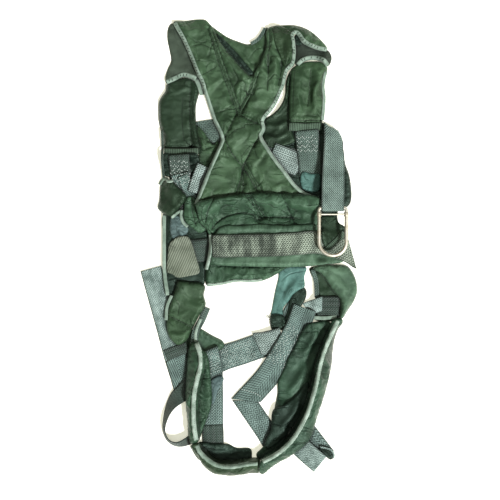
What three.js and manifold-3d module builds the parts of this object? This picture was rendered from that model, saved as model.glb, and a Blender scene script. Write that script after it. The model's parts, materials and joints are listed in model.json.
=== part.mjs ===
// A full-body parachute restraint harness, laid flat with its quilted back facing up.
// Millimetres, +Z up. X runs across the back, +Y towards the shoulders, and z = 0 is the
// surface that the harness lies on. The origin is under the middle of the harness.
import * as THREE from "three";
import { mergeVertices } from "three/addons/utils/BufferGeometryUtils.js";
import Module from "manifold-3d";

const wasm = await Module();
wasm.setup();

// Driving dimensions
const WEB_WIDTH = 44; // parachute harness webbing
const WEB_THICK = 2.2;
const TAPE_WIDTH = 9; // binding tape, folded over an edge
const TAPE_THICK = 1;
const GAP = 0.4; // clearance between pieces that lie on each other
const SLEEVE_THICK = 8;
const PAD_THICK = 10;
const CLOTH_THICK = 1.6;

// Levels of the stack, from the surface up
const SLEEVE_WEB_Z = 3.9; // middle of the main webs inside their sleeves
const LINING_Z = SLEEVE_THICK + GAP;
const PAD_Z = LINING_Z + CLOTH_THICK + GAP;
const PAD_TOP = PAD_Z + PAD_THICK;
const CARRIER_Z = PAD_TOP + GAP;
const BELT_Z = CARRIER_Z + CLOTH_THICK + GAP + WEB_THICK / 2;

// The D ring that hangs from the right riser, lying flat towards the legs
const RING_X = 161.5;
const RING_BAR_Y = 74;
const RING_Z = 30;
const RING_WEB_WIDTH = 43;
const RING_WIRE_R = 3.4;
const EYE_R = RING_WIRE_R + 1; // outside of the friction bar's eyes
const RING_HALF = RING_WEB_WIDTH / 2 + 0.3 + EYE_R; // middle of the ring to the middle of a leg
const RING_ARC_Y = 9; // where the straight legs end
const RING_BAR_R = 3;

const harness = new THREE.Group();

const MATERIALS = {
  cover: { color: 0x3d5a43, roughness: 0.62 },
  dark_cloth: { color: 0x23392b, roughness: 0.75 },
  lining: { color: 0x5c625c, roughness: 0.8 },
  teal_cloth: { color: 0x5f8a86, roughness: 0.7 },
  canvas: { color: 0x9c9d88, roughness: 0.9 },
  webbing: { color: 0x66776f, roughness: 0.85 },
  belt_webbing: { color: 0x8b9188, roughness: 0.85 },
  tape: { color: 0x9db0a6, roughness: 0.8 },
  foam: { color: 0xc9c3a8, roughness: 0.95 },
  steel: { color: 0xd6d1c2, roughness: 0.3, metalness: 1 },
};
for (const name of Object.keys(MATERIALS)) {
  MATERIALS[name] = new THREE.MeshStandardMaterial({ name, ...MATERIALS[name] });
}

// ---- Geometry helpers ----

// A mesh's geometry as a manifold-3d solid.
function solidOf(geometry) {
  const bare = geometry.clone();
  bare.deleteAttribute("normal");
  bare.deleteAttribute("uv");
  const merged = mergeVertices(bare, 1e-3);
  return new wasm.Manifold(
    new wasm.Mesh({
      numProp: 3,
      vertProperties: new Float32Array(merged.attributes.position.array),
      triVerts: new Uint32Array(merged.index.array),
    }),
  );
}

// A manifold-3d solid as a geometry.
function geometryOf(solid) {
  const { numProp, numVert, vertProperties, triVerts } = solid.getMesh();
  const position = new Float32Array(numVert * 3);
  for (let i = 0; i < numVert; i++) {
    position.set(vertProperties.subarray(i * numProp, i * numProp + 3), i * 3);
  }
  const geometry = new THREE.BufferGeometry();
  geometry.setAttribute("position", new THREE.BufferAttribute(position, 3));
  geometry.setIndex(new THREE.BufferAttribute(new Uint32Array(triVerts), 1));
  geometry.computeVertexNormals();
  return geometry;
}

function place(name, geometry, material) {
  const mesh = new THREE.Mesh(geometry, MATERIALS[material]);
  mesh.name = name;
  harness.add(mesh);
  return mesh;
}

// A closed outline that runs smoothly through its points.
function smooth(points, step = 9) {
  const curve = new THREE.CatmullRomCurve3(
    points.map(([x, y]) => new THREE.Vector3(x, y, 0)),
    true,
    "centripetal",
  );
  const count = Math.max(12, Math.round(curve.getLength() / step));
  return curve.getSpacedPoints(count).slice(0, count).map((p) => [p.x, p.y]);
}

// How far a point is from an outline.
function distanceTo(points, [x, y]) {
  return Math.min(
    ...points.map(([ax, ay], i) => {
      const [bx, by] = points[(i + 1) % points.length];
      const [dx, dy] = [bx - ax, by - ay];
      const along = ((x - ax) * dx + (y - ay) * dy) / (dx * dx + dy * dy);
      const share = Math.min(1, Math.max(0, along));
      return Math.hypot(ax + share * dx - x, ay + share * dy - y);
    }),
  );
}

// An outline moved inwards by a distance, without the points that a tight corner folds over.
function inset(points, distance) {
  const n = points.length;
  const area = points.reduce((sum, [x, y], i) => {
    const [nx, ny] = points[(i + 1) % n];
    return sum + (x * ny - nx * y) / 2;
  }, 0);
  const side = Math.sign(area) * distance;
  const moved = points.map(([x, y], i) => {
    const [ax, ay] = points[(i + n - 1) % n];
    const [bx, by] = points[(i + 1) % n];
    const length = Math.hypot(bx - ax, by - ay);
    return [x - (side * (by - ay)) / length, y + (side * (bx - ax)) / length];
  });
  return moved.filter((point) => distanceTo(points, point) > 0.97 * distance);
}

// A flat solid of an outline between two heights, with its edges chamfered.
function slab(points, low, high, chamfer = 0) {
  const shape = new THREE.Shape(points.map(([x, y]) => new THREE.Vector2(x, y)));
  const geometry = new THREE.ExtrudeGeometry(shape, {
    depth: high - low - 2 * chamfer,
    bevelEnabled: chamfer > 0,
    bevelThickness: chamfer,
    bevelSize: chamfer,
    bevelOffset: -chamfer,
    bevelSegments: 1,
  });
  return geometry.translate(0, 0, low + chamfer);
}

// Rings of points joined into one closed body: a loop if it is closed, else capped at its ends.
function loft(rings, closed = false) {
  const sides = rings[0].length;
  const position = rings.flat().flatMap((p) => [p.x, p.y, p.z]);
  const index = [];
  const last = closed ? rings.length : rings.length - 1;
  for (let i = 0; i < last; i++) {
    const a = i * sides;
    const b = ((i + 1) % rings.length) * sides;
    for (let j = 0; j < sides; j++) {
      const k = (j + 1) % sides;
      index.push(a + j, a + k, b + k, a + j, b + k, b + j);
    }
  }
  if (!closed) {
    const end = (rings.length - 1) * sides;
    for (let j = 1; j < sides - 1; j++) {
      index.push(0, j + 1, j, end, end + j, end + j + 1);
    }
  }
  const geometry = new THREE.BufferGeometry();
  geometry.setAttribute("position", new THREE.Float32BufferAttribute(position, 3));
  geometry.setIndex(index);
  if (solidOf(geometry).volume() < 0) {
    for (let i = 0; i < index.length; i += 3) {
      [index[i + 1], index[i + 2]] = [index[i + 2], index[i + 1]];
    }
    geometry.setIndex(index);
  }
  geometry.computeVertexNormals();
  return geometry;
}

// A strap through its route's points [x, y, z, roll]: its width stays level across a bend or
// a fold, turned about the strap by roll, in degrees.
function ribbon(route, width = WEB_WIDTH, thick = WEB_THICK, parts = 2) {
  const curve = new THREE.CatmullRomCurve3(
    route.map(([x, y, z]) => new THREE.Vector3(x, y, z)),
    false,
    "centripetal",
  );
  const spans = route.length - 1;
  const up = new THREE.Vector3(0, 0, 1);
  const rings = [];
  let across = null;
  for (let i = 0; i <= spans * parts; i++) {
    const at = i / parts;
    const from = Math.min(Math.floor(at), spans - 1);
    const share = at - from;
    const roll = (route[from][3] ?? 0) * (1 - share) + (route[from + 1][3] ?? 0) * share;
    const centre = curve.getPoint(at / spans);
    const tangent = curve.getTangent(at / spans);
    const level = new THREE.Vector3().crossVectors(tangent, up);
    if (across === null || level.length() > 0.35) {
      level.normalize();
      if (across !== null && level.dot(across) < 0) level.negate();
      across = level;
    } else {
      across.addScaledVector(tangent, -across.dot(tangent)).normalize();
    }
    const w = across.clone().applyAxisAngle(tangent, THREE.MathUtils.degToRad(roll));
    const n = new THREE.Vector3().crossVectors(w, tangent).normalize();
    const corner = (a, b) =>
      centre.clone().addScaledVector(w, (a * width) / 2).addScaledVector(n, (b * thick) / 2);
    rings.push([corner(-1, -1), corner(1, -1), corner(1, 1), corner(-1, 1)]);
  }
  return loft(rings);
}

// A round bar along a list of points, or a closed loop of it.
function rod(points, radius, closed = false, sides = 12) {
  const n = points.length;
  const rings = points.map((p, i) => {
    const before = points[closed ? (i + n - 1) % n : Math.max(i - 1, 0)];
    const after = points[closed ? (i + 1) % n : Math.min(i + 1, n - 1)];
    const tangent = after.clone().sub(before).normalize();
    const helper =
      Math.abs(tangent.z) > 0.9 ? new THREE.Vector3(1, 0, 0) : new THREE.Vector3(0, 0, 1);
    const u = new THREE.Vector3().crossVectors(tangent, helper).normalize();
    const v = new THREE.Vector3().crossVectors(tangent, u);
    return Array.from({ length: sides }, (_, k) => {
      const angle = (2 * Math.PI * (k + 0.5)) / sides;
      return p
        .clone()
        .addScaledVector(u, radius * Math.cos(angle))
        .addScaledVector(v, radius * Math.sin(angle));
    });
  });
  return loft(rings, closed);
}

// Points of an arc in a plane of constant x: from and to are angles from +Y towards +Z.
function arcInYZ(x, y, z, radius, from, to, count) {
  return Array.from({ length: count + 1 }, (_, i) => {
    const angle = THREE.MathUtils.degToRad(from + ((to - from) * i) / count);
    return [x, y + radius * Math.cos(angle), z + radius * Math.sin(angle)];
  });
}

// ---- Sub-parts ----

// A cloth piece: one layer or a folded edge, lying flat at a height.
function cloth(name, outline, low, thick = CLOTH_THICK, material = "cover") {
  place(name, slab(smooth(outline), low, low + thick), material);
}

// A quilted pad: a cover with a turn-in opening at its throat, and the foam inside it.
function pad(name, outline, low, throat, wall = 5, skin = 2, thick = PAD_THICK) {
  const points = smooth(outline);
  const foam = inset(points, wall + 4 * GAP);
  const pocket = solidOf(slab(inset(points, wall), low + skin, low + thick - skin));
  const [[ax, ay], [bx, by]] = throat;
  const mouth = solidOf(
    slab([[ax, ay], [bx, ay], [bx, by], [ax, by]], low + skin, low + thick - skin),
  );
  const cover = solidOf(slab(points, low, low + thick, 1.8)).subtract(pocket).subtract(mouth);
  place(name + "_cover", geometryOf(cover), "cover");
  place(name + "_foam", slab(foam, low + skin + GAP, low + thick - skin - GAP), "foam");
}

// Binding tape folded over an edge, as a flat strip on top of it.
function binding(name, route, height) {
  const points = route.map(([x, y, z = height]) => [x, y, z + TAPE_THICK / 2]);
  place(name, ribbon(points, TAPE_WIDTH, TAPE_THICK), "tape");
}

function web(name, route, material = "webbing", width = WEB_WIDTH, parts = 2) {
  place(name, ribbon(route, width, WEB_THICK, parts), material);
}

// The padded sleeve on each front strap, and the main lift web that runs through it.
function frontSleeve(side, outline, webRoute) {
  const slot = solidOf(
    ribbon(webRoute.slot, WEB_WIDTH + 4, WEB_THICK + 2 * GAP),
  );
  const sleeve = solidOf(slab(smooth(outline), 0, SLEEVE_THICK, 1.6)).subtract(slot);
  place("front_sleeve_" + side, geometryOf(sleeve), "cover");
  web("main_web_" + side, webRoute.web);
}

frontSleeve(
  "left",
  [
    [-158, 327], [-128, 330], [-108, 324], [-105, 300], [-110, 265], [-105, 240],
    [-99, 213], [-94, 196], [-95, 182], [-130, 180], [-163, 181], [-170, 200],
    [-174, 225], [-178, 255], [-176, 278], [-167, 296], [-163, 312],
  ],
  {
    slot: [[-134, 345, SLEEVE_WEB_Z], [-135, 250, SLEEVE_WEB_Z], [-132, 165, SLEEVE_WEB_Z]],
    web: [
      [-134, 322, SLEEVE_WEB_Z], [-135, 250, SLEEVE_WEB_Z], [-132, 176, SLEEVE_WEB_Z],
      [-131, 120, SLEEVE_WEB_Z], [-138, 60, SLEEVE_WEB_Z], [-138, 0, SLEEVE_WEB_Z],
      [-132, -58, SLEEVE_WEB_Z],
    ],
  },
);
frontSleeve(
  "right",
  [
    [90, 364], [116, 368], [140, 360], [151, 346], [148, 325], [145, 300], [148, 280],
    [146, 262], [143, 242], [110, 241], [80, 240], [76, 255], [77, 285], [76, 315],
    [78, 338], [83, 354],
  ],
  {
    slot: [[112, 385, SLEEVE_WEB_Z], [112, 300, SLEEVE_WEB_Z], [113, 225, SLEEVE_WEB_Z]],
    web: [
      [112, 360, SLEEVE_WEB_Z], [112, 300, SLEEVE_WEB_Z], [113, 236, SLEEVE_WEB_Z],
      [118, 185, SLEEVE_WEB_Z], [121, 145, SLEEVE_WEB_Z], [121, 108, SLEEVE_WEB_Z],
    ],
  },
);

// The hems below the sleeves, under the webs
cloth(
  "front_hem_left",
  [
    [-165, 174], [-135, 174], [-106, 174], [-100, 166], [-102, 152], [-118, 144],
    [-150, 140], [-168, 138],
  ],
  0, 2,
);
cloth(
  "front_hem_right",
  [[83, 232], [112, 234], [140, 233], [144, 222], [142, 200], [136, 215], [100, 217], [84, 200], [80, 218]],
  0, 2,
);

// The turned-in shoulder linings, the collar and the loose cloth at the armholes
cloth(
  "shoulder_lining_left",
  [
    [-156, 430], [-149, 437], [-138, 425], [-118, 384], [-100, 344], [-100, 322],
    [-125, 327], [-157, 317], [-162, 332], [-156, 348], [-150, 362], [-156, 385], [-158, 410],
  ],
  LINING_Z, CLOTH_THICK, "lining",
);
cloth(
  "shoulder_lining_right",
  [
    [87, 398], [95, 408], [104, 396], [128, 386], [152, 382], [159, 371], [157, 354],
    [146, 362], [125, 369], [106, 363], [90, 358],
  ],
  LINING_Z, CLOTH_THICK, "lining",
);
cloth(
  "collar_flap",
  [
    [-76, 434], [-60, 420], [-40, 407], [-15, 399], [2, 396], [16, 404], [30, 422],
    [42, 420], [40, 340], [5, 318], [-40, 355], [-74, 400],
  ],
  LINING_Z, CLOTH_THICK,
);
// The quilted back: hourglass yoke with both shoulder pads, and the lumbar pad below it
pad(
  "back_pad",
  [
    [-147, 435], [-125, 439], [-100, 443], [-85, 441], [-72, 425], [-58, 400], [-25, 368],
    [8, 338], [18, 352], [27, 385], [32, 418], [48, 428], [70, 432], [95, 430], [120, 419],
    [138, 403], [151, 386], [126, 391], [107, 402], [96, 415], [84, 416], [80, 400],
    [87, 378], [81, 357], [72, 341], [66, 318], [58, 295], [45, 268], [29, 246], [22, 226],
    [23, 214], [35, 192], [52, 168], [75, 140], [98, 116], [112, 105], [60, 105], [0, 104],
    [-50, 98], [-99, 87], [-88, 118], [-72, 155], [-56, 194], [-51, 214], [-60, 238],
    [-72, 262], [-80, 295], [-92, 325], [-110, 362], [-130, 402],
  ],
  PAD_Z,
  [[-20, 112], [20, 95]],
);
pad(
  "lumbar_pad",
  [
    [-98, 82], [-50, 93], [0, 99], [60, 100], [112, 99], [128, 93], [131, 65], [127, 20],
    [123, -20], [116, -37], [66, -41], [42, -58], [0, -67], [-40, -69], [-82, -75], [-88, -52],
    [-82, -20], [-78, 15], [-86, 36], [-108, 42], [-124, 52], [-122, 76], [-112, 86],
  ],
  PAD_Z,
  [[-20, -30], [20, -80]],
);

// The waist belt on its cloth carrier
cloth(
  "belt_carrier",
  [
    [-68, 34], [-30, 38], [0, 38], [50, 39], [96, 40], [115, 38], [118, 10], [115, -24],
    [104, -34], [60, -37], [0, -37], [-50, -36], [-68, -30], [-69, 0],
  ],
  CARRIER_Z,
);
web(
  "waist_belt",
  [
    [-69, -1, BELT_Z], [-20, 1, BELT_Z], [40, 3, BELT_Z], [100, 6, BELT_Z],
    [126, 6, BELT_Z], [150, 0, BELT_Z - 10], [176, -10, 6], [194, -18, 3],
  ],
  "belt_webbing",
);
web("belt_tail_left", [[-124, -7, 8], [-108, -6, 8.4], [-92, -5, 8.8]], "webbing", 46);
cloth(
  "belt_patch_left",
  [
    [-151, 8], [-140, 18], [-122, 22], [-114, 18], [-108, 0], [-102, -26], [-97, -48],
    [-126, -57], [-146, -56], [-158, -47], [-158, -22], [-156, -5],
  ],
  10.2, 3, "canvas",
);

// The left hip: pocket flap, side panel and the webs sewn to the main lift web
cloth(
  "pocket_flap_left",
  [
    [-172, 131], [-160, 127], [-148, 124], [-131, 112], [-126, 98], [-129, 84], [-141, 70],
    [-151, 60], [-163, 61], [-178, 76], [-173, 98], [-176, 118],
  ],
  PAD_Z, 6, "cover",
);
cloth(
  "side_panel_left",
  [
    [-163, 64], [-164, 0], [-163, -50], [-157, -85], [-148, -97], [-138, -80], [-110, -77],
    [-92, -78], [-86, -40], [-80, 20], [-100, 36], [-130, 60],
  ],
  0, 2, "dark_cloth",
);
web("hip_web_left", [[-134, 142, 6.5], [-124, 118, 6.5], [-113, 94, 6.5]], "webbing", 40);
web("back_strap_left", [[-74, 158, 9.1], [-84, 130, 9.1], [-92, 104, 9.1]], "webbing", 38);

// The two ends of the chest strap, which run in under the yoke
const CHEST_Z = 3.6;
web("chest_web_left", [[-87, 242, 1.6], [-76, 232, 2], [-56, 215, 3], [-33, 203, CHEST_Z]], "webbing", 40);
web("chest_web_right", [[82, 168, 1.6], [68, 171, 2], [46, 180, 3], [26, 190, CHEST_Z]], "webbing", 40);

// The right riser: the web folds over at its top, comes down over the front and loops round
// the bar of the D ring
const LOOP_R = RING_WIRE_R + GAP + WEB_THICK / 2;
web(
  "ring_strap",
  [
    [165, 172, 5], [165, 200, 5.5], [165, 218, 7],
    ...arcInYZ(165.5, 222, 13, 6, -70, 80, 4),
    [164, 200, 20], [163, 170, 23], [162, 130, 28], [RING_X, 100, 31.5],
    [RING_X, 86, RING_Z + LOOP_R + 0.4],
    ...arcInYZ(RING_X, RING_BAR_Y, RING_Z, LOOP_R, 90, 262, 8),
    [RING_X, 84, RING_Z - LOOP_R - 1.2], [RING_X, 98, RING_Z - LOOP_R - 2],
  ],
  "webbing", RING_WEB_WIDTH, 1,
);

function ringLoop() {
  const at = (x, y) => new THREE.Vector3(RING_X + x, y, RING_Z);
  const corner = RING_HALF - RING_WEB_WIDTH / 2 - 0.2; // bend radius where the bar meets the legs
  const arc = (cx, cy, r, from, to, n) =>
    Array.from({ length: n + 1 }, (_, i) => {
      const angle = THREE.MathUtils.degToRad(from + ((to - from) * i) / n);
      return at(cx + r * Math.cos(angle), cy + r * Math.sin(angle));
    });
  const inner = RING_HALF - corner;
  const frame = rod(
    [
      ...arc(inner, RING_BAR_Y - corner, corner, 90, 0, 4),
      at(RING_HALF, RING_ARC_Y + 20),
      ...arc(0, RING_ARC_Y, RING_HALF, 0, -180, 18),
      at(-RING_HALF, RING_ARC_Y + 20),
      ...arc(-inner, RING_BAR_Y - corner, corner, 180, 90, 4),
    ],
    RING_WIRE_R, false, 14,
  );
  const bar = rod([at(-inner - 1, RING_BAR_Y), at(inner + 1, RING_BAR_Y)], RING_BAR_R, false, 14);
  place("ring_frame", geometryOf(solidOf(frame).add(solidOf(bar))), "steel");
}
ringLoop();

// The sliding friction bar below the strap, with an eye round each leg of the ring
const EYE_LENGTH = 8;
const EYE_Y = 66;
function frictionBar() {
  const eye = (x) => {
    const at = (y) => new THREE.Vector3(RING_X + x, y, RING_Z);
    const tube = solidOf(rod([at(EYE_Y), at(EYE_Y - EYE_LENGTH)], EYE_R, false, 14));
    const bore = rod([at(EYE_Y + 1), at(EYE_Y - EYE_LENGTH - 1)], RING_WIRE_R + 0.4, false, 14);
    return tube.subtract(solidOf(bore));
  };
  const y = EYE_Y - EYE_LENGTH / 2;
  const reach = RING_HALF - RING_WIRE_R - 0.7;
  const bar = rod(
    [new THREE.Vector3(RING_X - reach, y, RING_Z), new THREE.Vector3(RING_X + reach, y, RING_Z)],
    1.6, false, 10,
  );
  const slider = solidOf(bar).add(eye(-RING_HALF)).add(eye(RING_HALF));
  place("friction_bar", geometryOf(slider), "steel");
}
frictionBar();

// Cloth round the right riser and under the ring
cloth(
  "pocket_flap_right",
  [[150, 163], [184, 166], [192, 148], [198, 120], [200, 97], [194, 80], [165, 76], [146, 84], [148, 120]],
  0, 10, "dark_cloth",
);
cloth(
  "web_wrap_right",
  [[103, 143], [120, 143], [137, 137], [139, 108], [122, 105], [108, 110], [102, 125]],
  6, CLOTH_THICK, "teal_cloth",
);
cloth(
  "ring_backing",
  [
    [142, 71], [172, 68], [170, 52], [183, 38], [186, 14], [160, 24], [140, 30], [134, 48],
  ],
  0, 3, "dark_cloth",
);

// The right hip
cloth(
  "hip_cup_right",
  [
    [149, -62], [142, -48], [150, -38], [176, -35], [197, -46], [208, -64], [211, -85],
    [207, -105], [196, -124], [184, -138], [179, -126], [180, -107], [168, -88],
  ],
  PAD_Z, 9,
);
cloth(
  "hip_cloth_right",
  [
    [121, -42], [140, -39], [160, -60], [176, -90], [181, -112], [172, -138], [150, -142],
    [130, -138], [136, -112], [127, -90], [122, -65],
  ],
  0, CLOTH_THICK, "dark_cloth",
);
web("hip_web_right", [[179, -118, 5], [158, -117, 5], [134, -117, 5]], "webbing", 42);
web("leg_strap_end", [[148, -108, 8], [134, -112, 8], [116, -120, 7.6]], "webbing", 30);
cloth(
  "lap_sleeve",
  [
    [68, -45], [90, -44], [113, -45], [108, -58], [108, -76], [98, -90], [80, -103], [68, -118],
    [66, -136], [67, -150], [47, -152], [43, -138], [46, -112], [52, -80], [60, -60],
  ],
  6.5, CLOTH_THICK, "teal_cloth",
);
web("lap_web", [[108, -92, 3.4], [92, -101, 3.4], [80, -128, 3.4], [66, -158, 3]], "webbing", 20);

// The left hip cup and the leg straps
cloth(
  "hip_cup_left",
  [
    [-133, -73], [-110, -70], [-93, -79], [-89, -100], [-84, -116], [-96, -132], [-106, -150],
    [-118, -172], [-136, -183], [-150, -172], [-158, -145], [-156, -120], [-149, -98], [-142, -84],
  ],
  PAD_Z, 9,
);
cloth(
  "leg_junction_left",
  [[-102, -150], [-88, -142], [-82, -126], [-88, -160], [-52, -184], [-52, -192], [-78, -200], [-100, -192]],
  7.8, CLOTH_THICK, "cover",
);
web(
  "leg_cross_web",
  [[-76, -229, 5.2], [-48, -216, 5.2], [0, -199, 5.2], [40, -189, 5.2], [74, -181, 5.2]],
);
web(
  "leg_diagonal_web",
  [
    [101, -140, 8.4], [88, -160, 8.4], [60, -200, 8.4], [30, -243, 8], [8, -275, 5.4], [-6, -295, 4.6],
  ],
);
web("leg_lower_web", [[-12, -293, 1.6], [8, -324, 1.6], [24, -348, 1.6], [36, -366, 1.6]], "webbing", 42);
web("leg_web_left", [[-72, -244, 1.8], [-71, -300, 1.8], [-71, -350, 1.8], [-71, -374, 1.8]], "webbing", 40);

// The saddle: a U of padded roll with its lining inside it, and the seat web that it carries
const ROLL_Z = 8;
const ROLL_TOP = 22;
function saddleRoll(name, outline) {
  place(name, slab(smooth(outline), ROLL_Z, ROLL_TOP, 3), "cover");
}
saddleRoll("saddle_roll_left", [
  [-119, -190], [-110, -182], [-102, -190], [-94, -212], [-98, -240], [-103, -270], [-105, -310],
  [-105, -350], [-100, -381], [-114, -383], [-118, -350], [-121, -300], [-122, -240],
]);
saddleRoll("saddle_roll_bottom", [
  [-112, -390], [-101, -388], [-84, -405], [-60, -422], [-20, -421], [0, -416], [14, -419],
  [16, -439], [0, -439], [-15, -444], [-30, -442], [-62, -439], [-80, -427], [-98, -412], [-108, -400],
]);
saddleRoll("saddle_roll_right", [
  [176, -142], [184, -146], [172, -165], [163, -200], [160, -232], [150, -270], [134, -320],
  [120, -360], [94, -390], [58, -418], [24, -439], [24, -421], [40, -406], [62, -394], [90, -366],
  [112, -316], [124, -270], [133, -230], [142, -196], [158, -166],
]);
cloth(
  "saddle_lining_left",
  [
    [-92, -205], [-84, -202], [-80, -235], [-76, -270], [-75, -305], [-82, -335], [-92, -356],
    [-98, -376], [-102, -350], [-102, -310], [-100, -270], [-95, -240], [-90, -215],
  ],
  8, 6,
);
cloth(
  "saddle_lining_bottom",
  [
    [-95, -384], [-55, -383], [-30, -391], [3, -394], [6, -404], [3, -413], [-22, -418],
    [-58, -418], [-82, -402],
  ],
  3.6, 2, "dark_cloth",
);
cloth(
  "saddle_lining_right",
  [
    [121, -150], [148, -148], [152, -162], [138, -192], [128, -230], [118, -272], [106, -316],
    [84, -364], [58, -390], [36, -402], [20, -410], [18, -400], [34, -386], [44, -350], [42, -300],
    [42, -282], [66, -262], [88, -242], [92, -215], [118, -184],
  ],
  3.6, 2, "dark_cloth",
);

// The free tails of the leg straps, which come out from under the saddle
web(
  "leg_tail_left",
  [
    [-190, -44, 1.6], [-184, -70, 1.6], [-166, -140, 1.6], [-148, -205, 1.6], [-134, -255, 2.4],
    [-144, -272, 6, 12], [-152, -290, 15, 42], [-160, -315, 20, 68], [-162, -340, 21, 76],
    [-158, -362, 21, 76], [-148, -377, 21, 72], [-136, -381, 17, 48], [-126, -380, 8, 14],
  ],
  "webbing", 40,
);
// The right tail comes out under the roll, turns back on itself at a slanting fold and ends on top
function foldedTail() {
  const [right, left] = [[164, -409], [124, -428]];
  const across = new THREE.Vector2(right[0] - left[0], right[1] - left[1]).normalize();
  const inward = [-across.y * WEB_THICK, across.x * WEB_THICK];
  const inner = [right, left].map(([x, y]) => [x + inward[0], y + inward[1]]);
  const bottom = 0.5;
  const top = 6.6;
  const lower = [right, left, [122, -384], [118, -366], [137, -364], [156, -382]];
  const under = slab(lower, bottom, bottom + WEB_THICK);
  const over = slab([right, left, [97, -396], [126, -370]], top - WEB_THICK, top);
  const fold = slab([right, left, inner[1], inner[0]], bottom, top);
  const tail = solidOf(under).add(solidOf(over)).add(solidOf(fold));
  place("leg_tail_right", geometryOf(tail), "belt_webbing");
}
foldedTail();

// Binding tape round the edges
const TAPE_Z = PAD_TOP + 0.3;
binding("binding_back_left", [
  [-141, 430], [-126, 400], [-106, 360], [-88, 325], [-76, 294], [-68, 262], [-56, 238],
  [-47.5, 216], [-52, 194], [-68, 155], [-84, 118], [-93, 92],
], TAPE_Z);
binding("binding_back_right", [
  [146, 390.5], [126, 396], [110, 406], [98, 420], [84, 421], [76, 402], [82, 378], [76, 358],
  [67, 341], [61, 318], [53, 296], [41, 270], [25, 247], [18, 226], [19, 213], [31, 190],
  [48, 165], [71, 137], [94, 113],
], TAPE_Z);
binding("binding_skirt", [[-66, -68], [-40, -65], [0, -62], [20, -60]], TAPE_Z);
binding("binding_sleeve_right", [[145, 340], [141, 300], [143, 280], [139, 248]], SLEEVE_THICK + 0.3);
binding("binding_saddle_left", [
  [-106, -190], [-100, -208], [-102, -235], [-108, -270], [-110, -310], [-109, -350], [-106, -376],
], ROLL_TOP + 0.3);
binding("binding_saddle_bottom", [
  [-102, -391], [-87, -411], [-61, -428], [-20, -427], [0, -422], [14, -424],
], ROLL_TOP + 0.3);
binding("binding_saddle_right", [
  [171, -148], [162, -168], [147, -196], [138, -230], [129, -272], [117, -318], [94, -368],
  [66, -397], [42, -411], [26, -422],
], ROLL_TOP + 0.3);

// The origin goes under the middle of the harness
const extent = new THREE.Box3().setFromObject(harness);
const middle = extent.getCenter(new THREE.Vector3());
harness.position.set(-middle.x, -middle.y, -extent.min.z);

export default harness;
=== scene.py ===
import json
import math

import bpy
import numpy as np
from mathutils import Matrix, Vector, geometry, noise

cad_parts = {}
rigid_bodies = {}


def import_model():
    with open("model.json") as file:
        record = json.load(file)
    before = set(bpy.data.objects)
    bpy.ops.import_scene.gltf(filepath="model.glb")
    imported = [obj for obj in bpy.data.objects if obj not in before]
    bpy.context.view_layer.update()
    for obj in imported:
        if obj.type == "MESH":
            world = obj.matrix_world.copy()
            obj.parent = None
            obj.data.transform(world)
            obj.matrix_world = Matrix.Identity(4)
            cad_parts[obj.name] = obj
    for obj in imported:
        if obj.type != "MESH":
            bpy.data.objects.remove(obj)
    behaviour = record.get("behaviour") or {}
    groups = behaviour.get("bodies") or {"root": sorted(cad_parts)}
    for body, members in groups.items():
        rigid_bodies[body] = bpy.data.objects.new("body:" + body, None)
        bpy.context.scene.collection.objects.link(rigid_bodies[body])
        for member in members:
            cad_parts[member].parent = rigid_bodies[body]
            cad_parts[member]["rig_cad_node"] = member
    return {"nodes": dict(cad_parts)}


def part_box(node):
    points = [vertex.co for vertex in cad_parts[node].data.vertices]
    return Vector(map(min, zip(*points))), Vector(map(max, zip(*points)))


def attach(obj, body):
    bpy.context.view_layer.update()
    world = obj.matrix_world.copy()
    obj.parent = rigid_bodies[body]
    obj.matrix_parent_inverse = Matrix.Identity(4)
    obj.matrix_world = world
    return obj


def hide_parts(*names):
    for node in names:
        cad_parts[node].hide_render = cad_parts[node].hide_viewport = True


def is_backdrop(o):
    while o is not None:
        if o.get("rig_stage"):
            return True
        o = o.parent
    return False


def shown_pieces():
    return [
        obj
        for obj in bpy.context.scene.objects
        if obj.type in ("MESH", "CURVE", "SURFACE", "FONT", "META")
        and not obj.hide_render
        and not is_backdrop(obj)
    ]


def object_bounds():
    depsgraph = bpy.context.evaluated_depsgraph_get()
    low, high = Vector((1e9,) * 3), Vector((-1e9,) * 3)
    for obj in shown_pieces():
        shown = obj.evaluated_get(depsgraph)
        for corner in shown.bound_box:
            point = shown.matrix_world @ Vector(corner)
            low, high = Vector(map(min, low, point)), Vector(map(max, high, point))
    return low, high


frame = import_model()
cad_low, cad_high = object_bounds()

MM = 0.001
ROOT = "harness"
WEB_WIDTH = 44
WEB_THICK = 2.2
TAPE_WIDTH = 7.5
TAPE_TICKS = 6.5  # mm from one crossing stitch to the next
CRUSH_START = 175  # above this y the riser's fold is crushed, least at its left edge
RISER_WIDTH = 43
CRUSH = ([0, 0.25, 0.5, 0.75, 0.92, 1], [1.18, 1.04, 0.98, 0.88, 0.68, 0.5])
RISER_EDGES = (  # y and x values of its left edge, and of its right one
    ([79, 120, 160, 200], [139.3, 140, 142.5, 145.5]), ([79, 120, 160, 180, 205], [182.3, 183.5, 184.5, 184, 182]),
)
CELL = 1.5 * MM  # cell of the height grid, and how far the grid goes past the harness
MARGIN = 0.03
GATHER_WIDTH = 17 * MM  # spacing of the gathers at a seam
GATHER_STRETCH = 0.3  # how much slower they change away from it
GATHER_REACH = 18 * MM
GATHER_HEIGHT = 1.1 * MM
GATHER_FOLD = 0.16  # share of the noise between one gather and the next
CREASE_HALF = 0.024  # how far the noise of a crease may be from its middle
CREASE_DRAWN = 0.36
CREASE_SHOWN = (0.47, 0.58)  # noise where creases start to show, and where they show in full
CREASES = (  # scale, scale of where they show, direction in degrees, depth
    (22.0, 13.0, 38, 1.4 * MM), (30.0, 16.0, -42, 1.0 * MM), (26.0, 15.0, 84, 0.9 * MM),
)
RIBS_LEAN = 24  # degrees between the canvas's ribs and the harness
THREAD_PITCH = 1.1 * MM  # of cloth
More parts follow.
